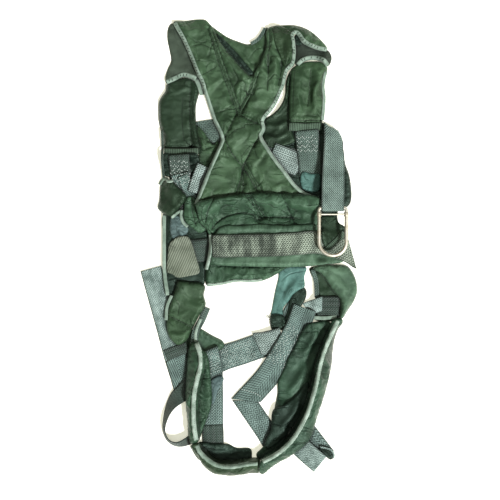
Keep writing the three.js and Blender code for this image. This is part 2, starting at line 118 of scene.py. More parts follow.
CLOTH_CRUMPLE = 1.2 * MM
DEEP = 0.3  # share of its dark colour that cloth or webbing is painted with as shade deep in a crease or recess, and that cloth has along seams
WAVE_UNIT = 2 * math.pi / 20  # a wave texture's period at scale 1
SWELL_FRAMES = 18
RECESS_NEAR, RECESS_NEAR_DEPTH = 5 * MM, 4.5 * MM  # reach and full depth of a crease, for its painted shade
RECESS_FAR, RECESS_FAR_DEPTH = 14 * MM, 18 * MM  # and of a broad hollow
SWAY_SIZE = 34  # mm between the rises of a strap that doesn't lie quite flat
FLOOR_HALF = 6.0
CAMERA_HEIGHT = 2.0
CAMERA_SEES = 0.975  # metres across the picture, at the floor
SUNS = (  # name, where it shines from, strength, softness in degrees
    ("key", (0.7, -0.85, 1.2), 5.2, 8), ("fill", (-0.5, 0.6, 2.0), 0.35, 60),
)

# ---------------------------------------------------------------- curves in plan


def numbers(points):
    """Points as an array, also from a text."""
    if isinstance(points, str):
        points = [point.split(",") for point in points.split()]
    return np.array(points, float)


def lengths_along(line):
    """The length of a line up to each of its points."""
    return np.concatenate([[0], np.cumsum(np.linalg.norm(np.diff(line, axis=0), axis=1))])


def directions(line, closed=False):
    """The unit tangent at each point of a line."""
    if closed:
        tangent = np.roll(line, -1, axis=0) - np.roll(line, 1, axis=0)
    else:
        tangent = np.gradient(line, axis=0)
    return tangent / np.linalg.norm(tangent, axis=1)[:, None]


def aside(tangent):
    """The directions to the right of the tangents, in plan."""
    return np.column_stack([tangent[:, 1], -tangent[:, 0]])


def spline(points, step=3.0, closed=False):
    """Points at equal steps along a smooth curve through the given ones, in their own units."""
    p = numbers(points)
    n = len(p)
    out = []
    for i in range(n if closed else n - 1):
        p1, p2 = p[i], p[(i + 1) % n]
        p0 = p[i - 1] if closed or i > 0 else 2 * p1 - p2
        p3 = p[(i + 2) % n] if closed or i + 2 < n else 2 * p2 - p1
        chords = [max(np.linalg.norm(b - a), 1e-6) ** 0.5 for a, b in ((p0, p1), (p1, p2), (p2, p3))]
        t = np.cumsum([0.0] + chords)
        s = np.linspace(t[1], t[2], 12, endpoint=False)[:, None]

        def between(a, b, start, end):
            return (t[end] - s) / (t[end] - t[start]) * a + (s - t[start]) / (t[end] - t[start]) * b

        a1, a2, a3 = between(p0, p1, 0, 1), between(p1, p2, 1, 2), between(p2, p3, 2, 3)
        out.append(between(between(a1, a2, 0, 2), between(a2, a3, 1, 3), 1, 2))
    out = np.vstack(out + [p[:1] if closed else p[-1:]])
    along = lengths_along(out)
    count = max(3, int(round(along[-1] / step)))
    at = np.linspace(0, along[-1], count + 1)
    out = np.stack([np.interp(at, along, out[:, k]) for k in range(out.shape[1])], axis=1)
    return out[:-1] if closed else out


def chamfered(outline, cut=3.5):
    """An outline with each corner cut off, so that a curve through it keeps straight sides."""
    p = numbers(outline)
    ends = []
    for other in (np.roll(p, 1, axis=0), np.roll(p, -1, axis=0)):
        length = np.linalg.norm(other - p, axis=1)[:, None]
        ends.append(p + (other - p) * np.minimum(cut / length, 0.35))
    return np.stack(ends, axis=1).reshape(-1, 2)


def inside(points, outline):
    """Whether each point is inside a closed outline."""
    x, y = points[:, 0], points[:, 1]
    found = np.zeros(len(points), bool)
    for (ax, ay), (bx, by) in zip(outline, np.roll(outline, -1, axis=0)):
        if ay != by:
            found ^= ((ay > y) != (by > y)) & (x < (bx - ax) * (y - ay) / (by - ay) + ax)
    return found


def away(points, line, closed=False):
    """Each point's distance to a line, and the share of the line's length at the nearest place."""
    ends = np.roll(line, -1, axis=0) if closed else line[1:]
    starts = line if closed else line[:-1]
    lengths = np.linalg.norm(ends - starts, axis=1)
    before = np.concatenate([[0], np.cumsum(lengths)])
    best = np.full(len(points), 1e9)
    share = np.zeros(len(points))
    for a, b, length, start in zip(starts, ends, lengths, before):
        d = b - a
        t = np.clip(((points - a) @ d) / max(d @ d, 1e-12), 0, 1)
        far = np.hypot(*(points - a - t[:, None] * d).T)
        near = far < best
        best[near] = far[near]
        share[near] = (start + t[near] * length) / before[-1]
    return best, share


def beside(points, lines):
    """Each point's distance to the nearest of the lines, and its place along that one."""
    best = np.full(len(points), 1e9)
    along = np.zeros(len(points))
    for k, line in enumerate(lines):
        far, share = away(points, line)
        near = far < best
        best[near] = far[near]
        along[near] = share[near] * np.linalg.norm(np.diff(line, axis=0), axis=1).sum() + k
    return best, along


def rough(points, size, seed, octaves=3):
    """Smooth noise from -1 to 1 with features of about that size, in mm."""
    scale = 1 / size
    shift = Vector((seed * 7.13, seed * 3.71, seed * 1.37))
    return np.array([
        noise.fractal(Vector((x * scale, y * scale, 0)) + shift, 1.0, 2.0, octaves) for x, y in points
    ])


# ---------------------------------------------------------------- what is laid so far


def spread(grid, r, merge, **pad):
    """A grid with each cell merged with those up to r away from it, along each axis in turn."""
    for axis in (0, 1):
        padded = np.pad(grid, [(r, r) if k == axis else (0, 0) for k in (0, 1)], **pad)
        n = grid.shape[axis]
        grid = merge([np.take(padded, range(k, k + n), axis=axis) for k in range(2 * r + 1)], axis=0)
    return grid


def spread_mean(grid, r):
    for width in (r // 2, r - r // 2):
        if width:
            grid = spread(grid, width, np.mean, mode="edge")
    return grid


class Ground:
    """The top of everything laid so far, as a height for each cell of a grid seen in plan."""

    def __init__(self, low, high):
        self.low = np.array(low[:2]) - MARGIN
        size = np.array(high[:2]) + MARGIN - self.low
        self.shape = tuple(int(n) for n in np.ceil(size / CELL))
        self.z = np.zeros(self.shape)

    def cells(self, outline):
        """The grid cells inside an outline, and their middles."""
        low = np.clip(((outline.min(0) - self.low) / CELL).astype(int) - 1, 0, None)
        high = np.minimum(((outline.max(0) - self.low) / CELL).astype(int) + 2, self.shape)
        i, j = np.meshgrid(np.arange(low[0], high[0]), np.arange(low[1], high[1]), indexing="ij")
        index = np.stack([i.ravel(), j.ravel()], axis=1)
        middle = self.low + (index + 0.5) * CELL
        found = inside(middle, outline)
        return index[found], middle[found]

    def support(self, outline, reach=7.0):
        """A smooth surface over what lies inside the outline, that nothing there pokes through."""
        index, _ = self.cells(outline)
        laid = np.zeros(self.shape)
        laid[index[:, 0], index[:, 1]] = self.z[index[:, 0], index[:, 1]]
        r = max(1, int(round(reach * MM / CELL)))
        low = np.maximum(index.min(0) - 2 * r - 2, 0)
        high = np.minimum(index.max(0) + 2 * r + 3, self.shape)
        part = np.s_[low[0] : high[0], low[1] : high[1]]
        out = np.zeros(self.shape)
        out[part] = spread_mean(spread(laid[part], r, np.max), r)
        return lambda xy: self.read(out, xy)

    def read(self, grid, xy):
        at = (np.asarray(xy) - self.low) / CELL - 0.5
        i = np.clip(np.floor(at).astype(int), 0, np.array(self.shape) - 2)
        f, g = np.clip(at - i, 0, 1).T
        a, b = i.T
        return (
            grid[a, b] * (1 - f) * (1 - g) + grid[a + 1, b] * f * (1 - g)
            + grid[a, b + 1] * (1 - f) * g + grid[a + 1, b + 1] * f * g
        )

    def top(self, xy):
        return self.read(self.z, xy)

    def add(self, outline, height):
        """Raises the cells inside an outline to a height, a function of their middles."""
        index, middle = self.cells(outline)
        if len(index):
            i, j = index.T
            self.z[i, j] = np.maximum(self.z[i, j], height(middle))

    def add_points(self, points):
        """Raises the cells under dense surface points."""
        at = np.clip(((points[:, :2] - self.low) / CELL).astype(int), 0, np.array(self.shape) - 1)
        np.maximum.at(self.z, (at[:, 0], at[:, 1]), points[:, 2])


ground = Ground(cad_low, cad_high)

# ---------------------------------------------------------------- materials


def linear(rgb):
    """An sRGB colour of 0 to 255 as linear values with alpha."""
    c = np.array(rgb, float) / 255
    c = np.where(c <= 0.04045, c / 12.92, ((c + 0.055) / 1.055) ** 2.4)
    return (*[float(v) for v in c], 1.0)


class Shader:
    """A new material and the nodes of its Principled BSDF. An input is a socket or a value."""

    def __init__(self, name, rough_value, sheen=0.0, metallic=0.0):
        self.material = bpy.data.materials.new(name)
        self.material.use_nodes = True
        self.tree = self.material.node_tree
        self.bsdf = self.tree.nodes["Principled BSDF"]
        self.give(
            self.bsdf, Roughness=rough_value, Metallic=metallic, Sheen_Weight=sheen, Sheen_Roughness=0.4,
            Specular_IOR_Level=0.4,
        )
        self.where = self.add("TexCoord").outputs["Object"]

    def put(self, socket, value):
        if isinstance(value, bpy.types.NodeSocket):
            self.tree.links.new(value, socket)
        elif value is not None:
            socket.default_value = value

    def give(self, node, **inputs):
        for key, value in inputs.items():
            self.put(node.inputs[key.replace("_", " ")], value)

    def add(self, kind, values=(), **inputs):
        """A node of that kind with its first inputs, and others by name."""
        made = self.tree.nodes.new("ShaderNode" + kind)
        for socket, value in zip(made.inputs, values):
            self.put(socket, value)
        self.give(made, **inputs)
        return made

    def maths(self, operation, a, b=None):
        made = self.add("Math", (a, b))
        made.operation = operation
        return made.outputs[0]

    def noise(self, scale, detail, roughness=0.5, distortion=0.0, where=None):
        return self.add(
            "TexNoise", Vector=self.where if where is None else where, Scale=scale, Detail=detail,
            Roughness=roughness, Distortion=distortion,
        ).outputs[0]

    def turned(self, degrees=0, scale=(1, 1, 1)):
        """The object's coordinates turned about Z and scaled."""
        return self.add(
            "Mapping", Vector=self.where, Rotation=(0, 0, math.radians(degrees)), Scale=scale
        ).outputs[0]

    def kept(self, name):
        """A value that the piece keeps for each vertex."""
        made = self.add("Attribute")
        made.attribute_name = name
        return made.outputs["Fac"]

    def ramp(self, socket, low, high):
        """A value remapped from low..high to 0..1."""
        return self.add("MapRange", (socket, low, high)).outputs[0]

    def mixed(self, factor, a, b):
        """The colour between a and b."""
        mix = self.tree.nodes.new("ShaderNodeMix")
        mix.data_type = "RGBA"
        for k, value in ((0, factor), (6, a), (7, b)):
            self.put(mix.inputs[k], value)
        return mix.outputs[2]

    def shaded(self, factor, colour, share, dark):
        """The colour taken by that share of the way to a dark one, where the factor is 1."""
        return self.mixed(factor, colour, self.mixed(share, colour, dark))

    def finish(self, colour, dark, strength, layers):
        """The colour, darkened by painted shade where the piece lies deep in creases and hollows, and bumps
        of each (socket, height in metres), one on top of the other."""
        recess = self.maths("MULTIPLY", self.kept("recess"), strength)
        self.put(self.bsdf.inputs["Base Color"], self.mixed(recess, colour, dark))
        self.bump(layers)
        return self.material

    def bump(self, layers):
        normal = None
        for socket, height in layers:
            normal = self.add("Bump", Strength=1.0, Distance=height, Height=socket, Normal=normal).outputs[0]
        self.put(self.bsdf.inputs["Normal"], normal)


def gathered(s):
    """Small gathers that run out from a piece's seams and edge, and how strong they are there."""
    along, far = s.kept("seam_along"), s.kept("seam_far")
    join = s.add("CombineXYZ", (
        s.maths("MULTIPLY", along, 1.0 / GATHER_WIDTH), s.maths("MULTIPLY", far, GATHER_STRETCH / GATHER_WIDTH),
    ))
    waves = s.noise(1.0, 1.0, distortion=0.25, where=join.outputs[0])
    fold = s.maths("PINGPONG", waves, GATHER_FOLD)
    return s.ramp(fold, 0.0, GATHER_FOLD), s.ramp(far, GATHER_REACH, 1 * MM)


def creased(s, scale, shown_scale, turn):
    """Thin creases that come and go over the cloth, drawn out along a direction turned by that many
    degrees: 1 on a crease, 0 away from it."""
    places = s.noise(scale, 0.0, where=s.turned(turn, (CREASE_DRAWN, 1, 1)))
    middle = s.maths("ABSOLUTE", s.maths("SUBTRACT", places, 0.5))
    shown = s.ramp(s.noise(shown_scale, 1.0), *CREASE_SHOWN)
    return s.maths("MULTIPLY", s.ramp(middle, CREASE_HALF, 0.0), shown)


def cloth_material(name, base, pale, dark, roughness=0.38, ribs=None, creases=True):
    """Woven nylon or cotton cloth: fine weave, paler patches that are both uneven tone and painted highlight, dark
    seams, and painted shade in its creases, gathers and recesses.
    """
    s = Shader(name, roughness, 0.04)
    base, pale, dark, deep = (linear(c) for c in (base, pale, dark, [DEEP * c for c in dark]))
    tint = np.array(pale[:3])
    s.bsdf.inputs["Specular Tint"].default_value = (*[float(v) for v in (tint / tint.max()) ** 0.45], 1.0)
    # paler patches at random: uneven tone of the cloth, and also painted highlights
    colour = s.mixed(s.ramp(s.noise(9.0, 3.0), 0.35, 0.7), base, pale)
    colour = s.shaded(s.ramp(s.noise(38.0, 4.0, 0.55, 0.6), 0.55, 0.25), colour, 0.6, dark)
    threads = []
    for direction in ("X", "Y"):
        wave = s.add("TexWave", Vector=s.where, Scale=WAVE_UNIT / THREAD_PITCH)
        wave.bands_direction = direction
        threads.append(wave.outputs["Fac"])
    weave = s.maths("MULTIPLY", *threads)
    colour = s.shaded(weave, colour, 0.15, pale)
    layers = [(s.noise(34.0, 2.0, 0.45), CLOTH_CRUMPLE)]
    if ribs is not None:
        wave = s.add(
            "TexWave", Vector=s.turned(RIBS_LEAN), Scale=WAVE_UNIT / (ribs * MM), Distortion=2.0, Detail=2.0,
            Detail_Scale=0.6,
        ).outputs["Fac"]
        colour = s.mixed(s.ramp(wave, 0.55, -0.2), colour, dark)
        layers.append((wave, 0.0006))
    # painted shade: each crease darkens the colour as well as denting the bump
    for scale, shown_scale, turn, depth in CREASES if creases else ():
        crease = creased(s, scale, shown_scale, turn)
        colour = s.shaded(crease, colour, 0.55, dark)
        layers.append((crease, -depth))
    gathers, fade = gathered(s)
    # painted shade in the valleys between the gathers
    colour = s.shaded(s.maths("MULTIPLY", s.ramp(gathers, 0.3, 0.02), fade), colour, 0.4, dark)
    # darker along seams, where the cloth is sewn, and painted shade along the sharp creases
    colour = s.shaded(s.ramp(s.kept("seam_and_crease_line"), 0.55, 0.95), colour, 0.85, deep)
    layers += [(s.maths("MULTIPLY", gathers, fade), GATHER_HEIGHT), (weave, 0.0002)]
    return s.finish(colour, deep, 0.6, layers)


def webbing_material(
    name, base, pale, dark, pitch=5.0, chevron_width=5.5, blotch=0.3, bump=1.0, streaks=(1.0, 1.0),
    stained=(0.36, 0.54), cleaner=None,
):
    """Nylon webbing: a herringbone twill that runs along the strap, from the strap's own UV in metres."""
    s = Shader(name, 0.6, 0.15)
    base, pale, dark, deep = (linear(c) for c in (base, pale, dark, [DEEP * c for c in dark]))
    uv = s.add("UVMap")
    uv.uv_map = "weave"
    across, along = s.add("SeparateXYZ", (uv.outputs[0],)).outputs[:2]
    chevron = s.maths("PINGPONG", across, chevron_width * MM)
    slant = s.maths("ADD", along, s.maths("MULTIPLY", chevron, 1.3))
    ribs = s.maths("SINE", s.maths("MULTIPLY", slant, 2 * math.pi / (pitch * MM)))
    yarns = s.maths("SINE", s.maths("MULTIPLY", across, 2 * math.pi / (0.8 * pitch * MM)))
    weave = s.ramp(s.maths("ADD", ribs, s.maths("MULTIPLY", yarns, 0.4)), -1.2, 1.2)
    worn = s.noise(30.0, 4.0, 0.6)
    low = s.mixed(s.ramp(worn, 0.35, 1.0), dark, base)
    light = s.mixed(s.ramp(worn, 0.15, 0.6), base, pale)
    colour = s.mixed(weave, low, light)
    colour = s.mixed(s.ramp(s.noise(420.0, 2.0, 0.7), 0.58, 0.8), colour, pale)
    stains = s.noise(55.0, 3.0, 0.6, where=s.turned(scale=(*streaks, 1.0)))
    shade = s.maths("MULTIPLY", s.ramp(stains, stained[1], stained[0]), blotch)
    if cleaner is not None:
        x = s.add("SeparateXYZ", (s.where,)).outputs[0]
        soiling = s.maths("MULTIPLY", s.ramp(x, cleaner[1] * MM, cleaner[0] * MM), 0.7)
        shade = s.maths("MULTIPLY", shade, s.maths("ADD", soiling, 0.3))
    colour = s.shaded(shade, colour, 0.8, dark)
    # darker at the strap's edges: the selvage's own tone and painted shade along the edge
    colour = s.shaded(s.ramp(s.kept("selvage_and_edge_shade"), 0.84, 1.0), colour, 0.7, dark)
    return s.finish(colour, deep, 0.85, [(worn, 0.002), (weave, 0.0009 * bump)])


def tape_material(name, base, pale):
    s = Shader(name, 0.8, 0.2)
    worn, ribs = s.noise(60.0, 4.0, 0.6), s.noise(700.0, 1.0)
    colour = s.mixed(s.ramp(worn, 0.3, 0.7), linear(base), linear(pale))
    return s.finish(colour, linear([0.35 * c for c in base]), 0.8, [(worn, 0.001), (ribs, 0.0004)])


def steel_material():
    s = Shader("plated_steel", 0.28, 0.0, 1.0)
    stain = s.noise(90.0, 5.0, 0.6)
    colour = s.mixed(s.ramp(stain, 0.35, 0.75), linear((226, 224, 214)), linear((176, 166, 138)))
    s.give(s.bsdf, Base_Color=colour, Roughness=s.ramp(stain, -0.6, 1.6))
    s.bump([(stain, 0.0003)])
    return s.material


PLAIN = {"creases": False}
SMOOTH_LINING = {"roughness": 0.7, **PLAIN}
CLOTHS = (  # key, slot, name, base, pale and dark colour, and what differs from plain cloth
    ("cover", "cover", "green_nylon", (42, 64, 43), (70, 96, 70), (22, 38, 24), {}),
    ("cover_deep", "cover", "green_nylon_deep", (20, 34, 22), (31, 48, 33), (11, 20, 13), PLAIN),
    ("cover_smooth", "cover", "green_nylon_smooth", (35, 56, 37), (61, 86, 60), (19, 34, 21), PLAIN),
    ("lining_dark", "lining", "lining_cloth_dark", (32, 40, 34), (48, 58, 49), (18, 24, 20), SMOOTH_LINING),
    ("cover_brown", "cover", "green_nylon_faded", (30, 48, 30), (42, 60, 40), (20, 34, 20), {}),
    ("cover_blue", "cover", "green_nylon_cool", (38, 62, 45), (62, 90, 68), (20, 38, 26), {}),
    ("cover_shade", "cover", "green_nylon_shade", (27, 46, 35), (50, 76, 58), (11, 22, 16), {}),
    ("cover_mint", "cover", "green_nylon_worn", (53, 77, 60), (84, 112, 90), (22, 40, 29), PLAIN),
    ("dark", "dark_cloth", "dark_nylon", (15, 27, 21), (26, 42, 33), (7, 14, 11), {}),
    ("slate", "teal_cloth", "slate_nylon", (72, 92, 92), (100, 122, 120), (44, 60, 60), {}),
    ("lining", "lining", "lining_cloth", (48, 60, 49), (66, 78, 66), (28, 38, 30), SMOOTH_LINING),
    ("teal", "teal_cloth", "teal_nylon", (64, 98, 91), (96, 136, 128), (36, 62, 56), {}),
    ("canvas", "canvas", "beige_canvas", (112, 121, 106), (142, 151, 136), (60, 70, 56),
     {"roughness": 0.85, "ribs": 4.2, **PLAIN}),
)
WEBS = (  # key, slot, name, base, pale and dark colour, and what differs
    ("webbing", "webbing", "sage_webbing", (64, 88, 82), (136, 164, 156), (18, 34, 30),
     {"pitch": 5.4, "chevron_width": 22, "bump": 1.6}),
    ("web_mid", "webbing", "worn_webbing", (50, 68, 60), (106, 130, 120), (18, 33, 27), {}),
    ("web_dark", "webbing", "dark_webbing", (36, 50, 43), (76, 97, 87), (14, 25, 20), {}),
    ("web_pale", "webbing", "pale_webbing", (74, 98, 92), (142, 168, 161), (24, 42, 37),
     {"pitch": 5.4, "bump": 1.4}),
    ("web_light", "webbing", "light_webbing", (104, 128, 121), (182, 204, 198), (48, 70, 64),
     {"pitch": 4.4, "blotch": 0.7}),
    ("twill", "belt_webbing", "bright_twill", (100, 120, 114), (176, 196, 190), (36, 52, 46),
     {"pitch": 5.4, "bump": 1.6}),
    ("belt", "belt_webbing", "belt_webbing", (58, 78, 60), (192, 208, 188), (13, 30, 20),
     {"pitch": 5.2, "chevron_width": 3.9, "blotch": 0.95, "bump": 2.0, "streaks": (1.1, 0.28),
      "stained": (0.42, 0.62), "cleaner": (40, 130)}),
    ("knit", "cover", "knitted_hem", (50, 74, 56), (92, 116, 96), (20, 36, 24),
     {"pitch": 3.4, "chevron_width": 0.01, "bump": 1.4}),
    ("riser", "webbing", "riser_webbing", (74, 98, 90), (156, 182, 172), (18, 34, 28),
     {"pitch": 4.7, "chevron_width": 44, "bump": 1.5}),
)
TAPES = (
    ("tape", "tape", "pale_tape", (92, 112, 98), (146, 166, 152), {}),
    ("tape_light", "tape", "light_tape", (118, 138, 124), (172, 190, 178), {}),
    ("thread", "tape", "pale_thread", (176, 190, 182), (226, 236, 230), {}),
    ("dark_thread", "dark_cloth", "dark_thread", (22, 34, 26), (34, 48, 38), {}),
)
MATERIALS = {"steel": steel_material()}
for make, rows in ((cloth_material, CLOTHS), (webbing_material, WEBS), (tape_material, TAPES)):
    for key, slot, name, *colours, differs in rows:
        MATERIALS[key] = make(name, *colours, **differs)

# ---------------------------------------------------------------- building pieces


def piece(name, vertices, faces, material, body=ROOT, replaces=(), uv=None):
    """A mesh that rides on a body. It stands for the CAD nodes it replaces, or the one it is named
    after."""
    mesh = bpy.data.meshes.new(name)
    mesh.from_pydata([tuple(v) for v in vertices], [], faces)
    mesh.validate()
    mesh.polygons.foreach_set("use_smooth", [True] * len(mesh.polygons))
    if uv is not None:
        layer = mesh.uv_layers.new(name="weave")
        corners = np.empty(len(mesh.loops), int)
        mesh.loops.foreach_get("vertex_index", corners)
        layer.data.foreach_set("uv", np.asarray(uv, float)[corners].ravel())
    made = bpy.data.objects.new(name, mesh)
    bpy.context.scene.collection.objects.link(made)
    made.data.materials.append(MATERIALS[material])
    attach(made, body)
    if not replaces and name in frame["nodes"]:
        replaces = [name]
    if replaces:
        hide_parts(*replaces)
    return made


def keep_values(made, name, values):
    """Stores one number for each vertex, for the piece's material to read."""
    kept = made.data.attributes.get(name) or made.data.attributes.new(name, "FLOAT", "POINT")
    kept.data.foreach_set("value", np.asarray(values, np.float32))


def rounded(share):
    """A quarter-round rise from 0 at share 0 to 1 at share 1."""
    return np.sqrt(1 - (1 - np.clip(share, 0, 1)) ** 2)


def swell(name, faces, top, pinned, pressure, slack, cap):
    """The top of a padded piece after its cloth has been blown up: the cloth is slack by that share
    of its size, held where pinned, and no point moves further than the cap, in mm."""
    mesh = bpy.data.meshes.new(name + "_cloth")
    mesh.from_pydata([tuple(v) for v in top], [], [tuple(f) for f in faces])
    sheet = bpy.data.objects.new(name + "_cloth", mesh)
    scene = bpy.context.scene
    scene.collection.objects.link(sheet)
    group = sheet.vertex_groups.new(name="pinned")
    group.add([int(i) for i in np.flatnonzero(pinned)], 1.0, "REPLACE")
    cloth = sheet.modifiers.new("Cloth", "CLOTH")
    for key, value in (
        ("quality", 4), ("mass", 0.2), ("use_pressure", True), ("uniform_pressure_force", pressure),
        ("shrink_min", -slack), ("bending_stiffness", 0.08), ("tension_stiffness", 12),
        ("compression_stiffness", 12), ("shear_stiffness", 6), ("vertex_group_mass", "pinned"),
    ):
        setattr(cloth.settings, key, value)
    cloth.settings.effector_weights.gravity = 0
    cloth.collision_settings.use_collision = False
    cloth.collision_settings.use_self_collision = False
    for frame_number in range(1, SWELL_FRAMES + 1):
        scene.frame_set(frame_number)
    result = sheet.evaluated_get(bpy.context.evaluated_depsgraph_get())
    blown = np.empty(len(top) * 3)
    result.data.vertices.foreach_get("co", blown)
    scene.frame_set(1)
    bpy.data.objects.remove(sheet)
    bpy.data.meshes.remove(mesh)
    moved = blown.reshape(-1, 3) - top
    moved[~np.isfinite(moved)] = 0
    length = np.linalg.norm(moved, axis=1)
    limit = cap * MM
    soft = limit * np.tanh(length / limit) / np.maximum(length, 1e-9)
    return top + moved * soft[:, None]


def patch(
    name, outline, material, thick, replaces=(), lift=0.5, reach=7.0, round_off=None, seams=(), puff=16.0,
    seam_depth=0.75, folds=(), crumple=(0.0, 20.0), ridge=None, step=3.0, edge=0.8, seed=1, base=None,
    blow=None, crisp=False,
):
    """A closed piece of cloth or padding with that outline in plan, laid on what is there.
    seams are stitched lines that draw the cloth in, folds are (line, height, width) rises or, where the
    height is below 0, sharp creases. ridge is (line, heights along it) of a crest that the piece
    stands up to, and blow is (pressure, slack, cap) of its cloth simulation."""
    line = spline(chamfered(outline) if crisp else outline, step, closed=True) * MM
    round_off = round_off or thick * 1.2
    seam_lines = [spline(s, step) * MM for s in seams]
    fold_lines = [(spline(f[0], step) * MM, f[1] * MM, f[2] * MM) for f in folds]
    drawn = [*seam_lines, *[f[0] for f in fold_lines if f[1] < 0]]
    laid = ground.support(line, reach) if base is None else lambda xy: np.full(len(xy), base * MM)
    if ridge is not None:
        ridge_line = spline(ridge[0], 3.0) * MM
        ridge_heights = np.array(ridge[1], float) * MM

    def heights(xy):
        low = laid(xy) + lift * MM
        d, _ = away(xy, line, closed=True)
        body = rounded(d / (round_off * MM))
        top = edge * MM + (thick - edge) * MM * body
        for seam in seam_lines:
            ds, _ = away(xy, seam)
            top -= seam_depth * (thick - edge) * MM * body * (1 - rounded(ds / (puff * MM)))
        if ridge is not None:
            dr, share = away(xy, ridge_line)
            crest = np.interp(share, np.linspace(0, 1, len(ridge_heights)), ridge_heights)
            s = d / np.maximum(d + dr, 1e-9)
            top += np.maximum(crest - low - thick * MM, 0) * np.sin(s * math.pi / 2) ** 0.8
        for fold, height, width in fold_lines:
            df, share = away(xy, fold)
            fade = np.clip(np.minimum(share, 1 - share) * 5, 0, 1) ** 0.5
            shape = np.exp(-df / width) if height < 0 else np.exp(-((df / width) ** 2))
            top += height * shape * fade * body
        if crumple[0]:
            bumps = rough(xy / MM, crumple[1], seed)
            sharp = 1 - np.abs(rough(xy / MM, crumple[1] * 1.7, seed + 31))
            top += crumple[0] * MM * body * (0.6 * bumps + 0.9 * (sharp**3 - 0.4))
        return low, np.maximum(top, 0.35 * MM)

    low_corner, high_corner = line.min(0), line.max(0)
    xs = np.arange(low_corner[0], high_corner[0], step * MM)
    ys = np.arange(low_corner[1], high_corner[1], step * MM * math.sqrt(3) / 2)
    grid = np.array([(x + (k % 2) * step * MM / 2, y) for k, y in enumerate(ys) for x in xs])
    grid = grid[inside(grid, line)]
    clear = away(grid, line, closed=True)[0]
    points = [line]
    edges = [(i, (i + 1) % len(line)) for i in range(len(line))]
    for mark in drawn:
        clear = np.minimum(clear, away(grid, mark)[0])
        kept = mark[inside(mark, line) & (away(mark, line, closed=True)[0] > 0.5 * step * MM)]
        if len(kept) > 1:
            start = sum(len(p) for p in points)
            points.append(kept)
            edges += [
                (start + i, start + i + 1) for i in range(len(kept) - 1)
                if np.linalg.norm(kept[i + 1] - kept[i]) < 2 * step * MM
            ]
    flat = np.vstack([*points, grid[clear > 0.55 * step * MM]])
    found = geometry.delaunay_2d_cdt([Vector(p) for p in flat], edges, [list(range(len(line)))], 1, 1e-6)
    flat = np.array([tuple(v) for v in found[0]])
    faces = [f for f in found[2] if len(f) == 3]
    low, rise = heights(flat)
    top = np.column_stack([flat, low + rise])
    seam_and_crease_line = np.zeros(len(flat))
    for mark in drawn:
        seam_and_crease_line = np.maximum(seam_and_crease_line, 1 - away(flat, mark)[0] / (0.8 * step * MM))
    seam_and_crease_line = np.clip(seam_and_crease_line, 0, 1)
    if blow is not None:
        pinned = (away(flat, line, closed=True)[0] < 0.3 * step * MM) | (seam_and_crease_line > 0.7)
        top = swell(name, faces, top, pinned, *blow)
        top[:, 2] = np.maximum(top[:, 2], low + edge * 0.5 * MM)
    count = len(flat)
    directed = {(a, b) for f in faces for a, b in zip(f, f[1:] + f[:1])}
    rim = [
        (a, b) for f in faces for a, b in zip(f, f[1:] + f[:1]) if (b, a) not in directed
    ]
    shell = list(faces) + [[i + count for i in reversed(f)] for f in faces]
    shell += [[b, a, a + count, b + count] for a, b in rim]
    made = piece(
        name, np.vstack([top, np.column_stack([flat, low])]), shell, material, replaces=replaces
    )
    far, along = beside(flat, [np.vstack([line, line[:1]]), *seam_lines])
    for key, values in (("seam_and_crease_line", seam_and_crease_line), ("seam_far", far), ("seam_along", along)):
        keep_values(made, key, np.tile(values, 2))
    ground.add(line, lambda xy: sum(heights(xy)))
    if blow is not None:
        ground.add_points(top)
    x, y = line.T
    made["area"] = float(0.5 * abs(np.sum(x * np.roll(y, -1) - y * np.roll(x, -1))))
    sizes = []
    for angle in np.radians(np.arange(0, 90, 3)):
        c, s = math.cos(angle), math.sin(angle)
        sizes.append(np.ptp(line @ np.array([[c, -s], [s, c]]), axis=0))
    made["flat"] = [float(max(v, 0.011)) for v in min(sizes, key=np.prod)]
    return made


def cloth(name, *rest, **more):
    """A piece of cloth that lies on others, cut to its own outline."""
    made = patch(name, *rest, **more)


def pad(name, *rest, fill, **more):
    """A padded piece."""
    patch(name, *rest, **more)


def band_faces(rows, columns):
    """The faces of a flat strap of two layers of points, each of rows times columns of cells."""
    n = columns + 1
    count = (rows + 1) * n
    faces = []
    for k in range(rows):
        for j in range(columns):
            a = k * n + j
            faces.append([a, a + 1, a + n + 1, a + n])
            faces.append([a + n + count, a + n + 1 + count, a + 1 + count, a + count])
        a, b = k * n, k * n + columns
        faces.append([a, a + n, a + n + count, a + count])
        faces.append([b + count, b + n + count, b + n, b])
    for j in range(columns):
        a = rows * n + j
        faces.append([j + count, j + 1 + count, j + 1, j])
        faces.append([a, a + 1, a + 1 + count, a + count])
    return faces


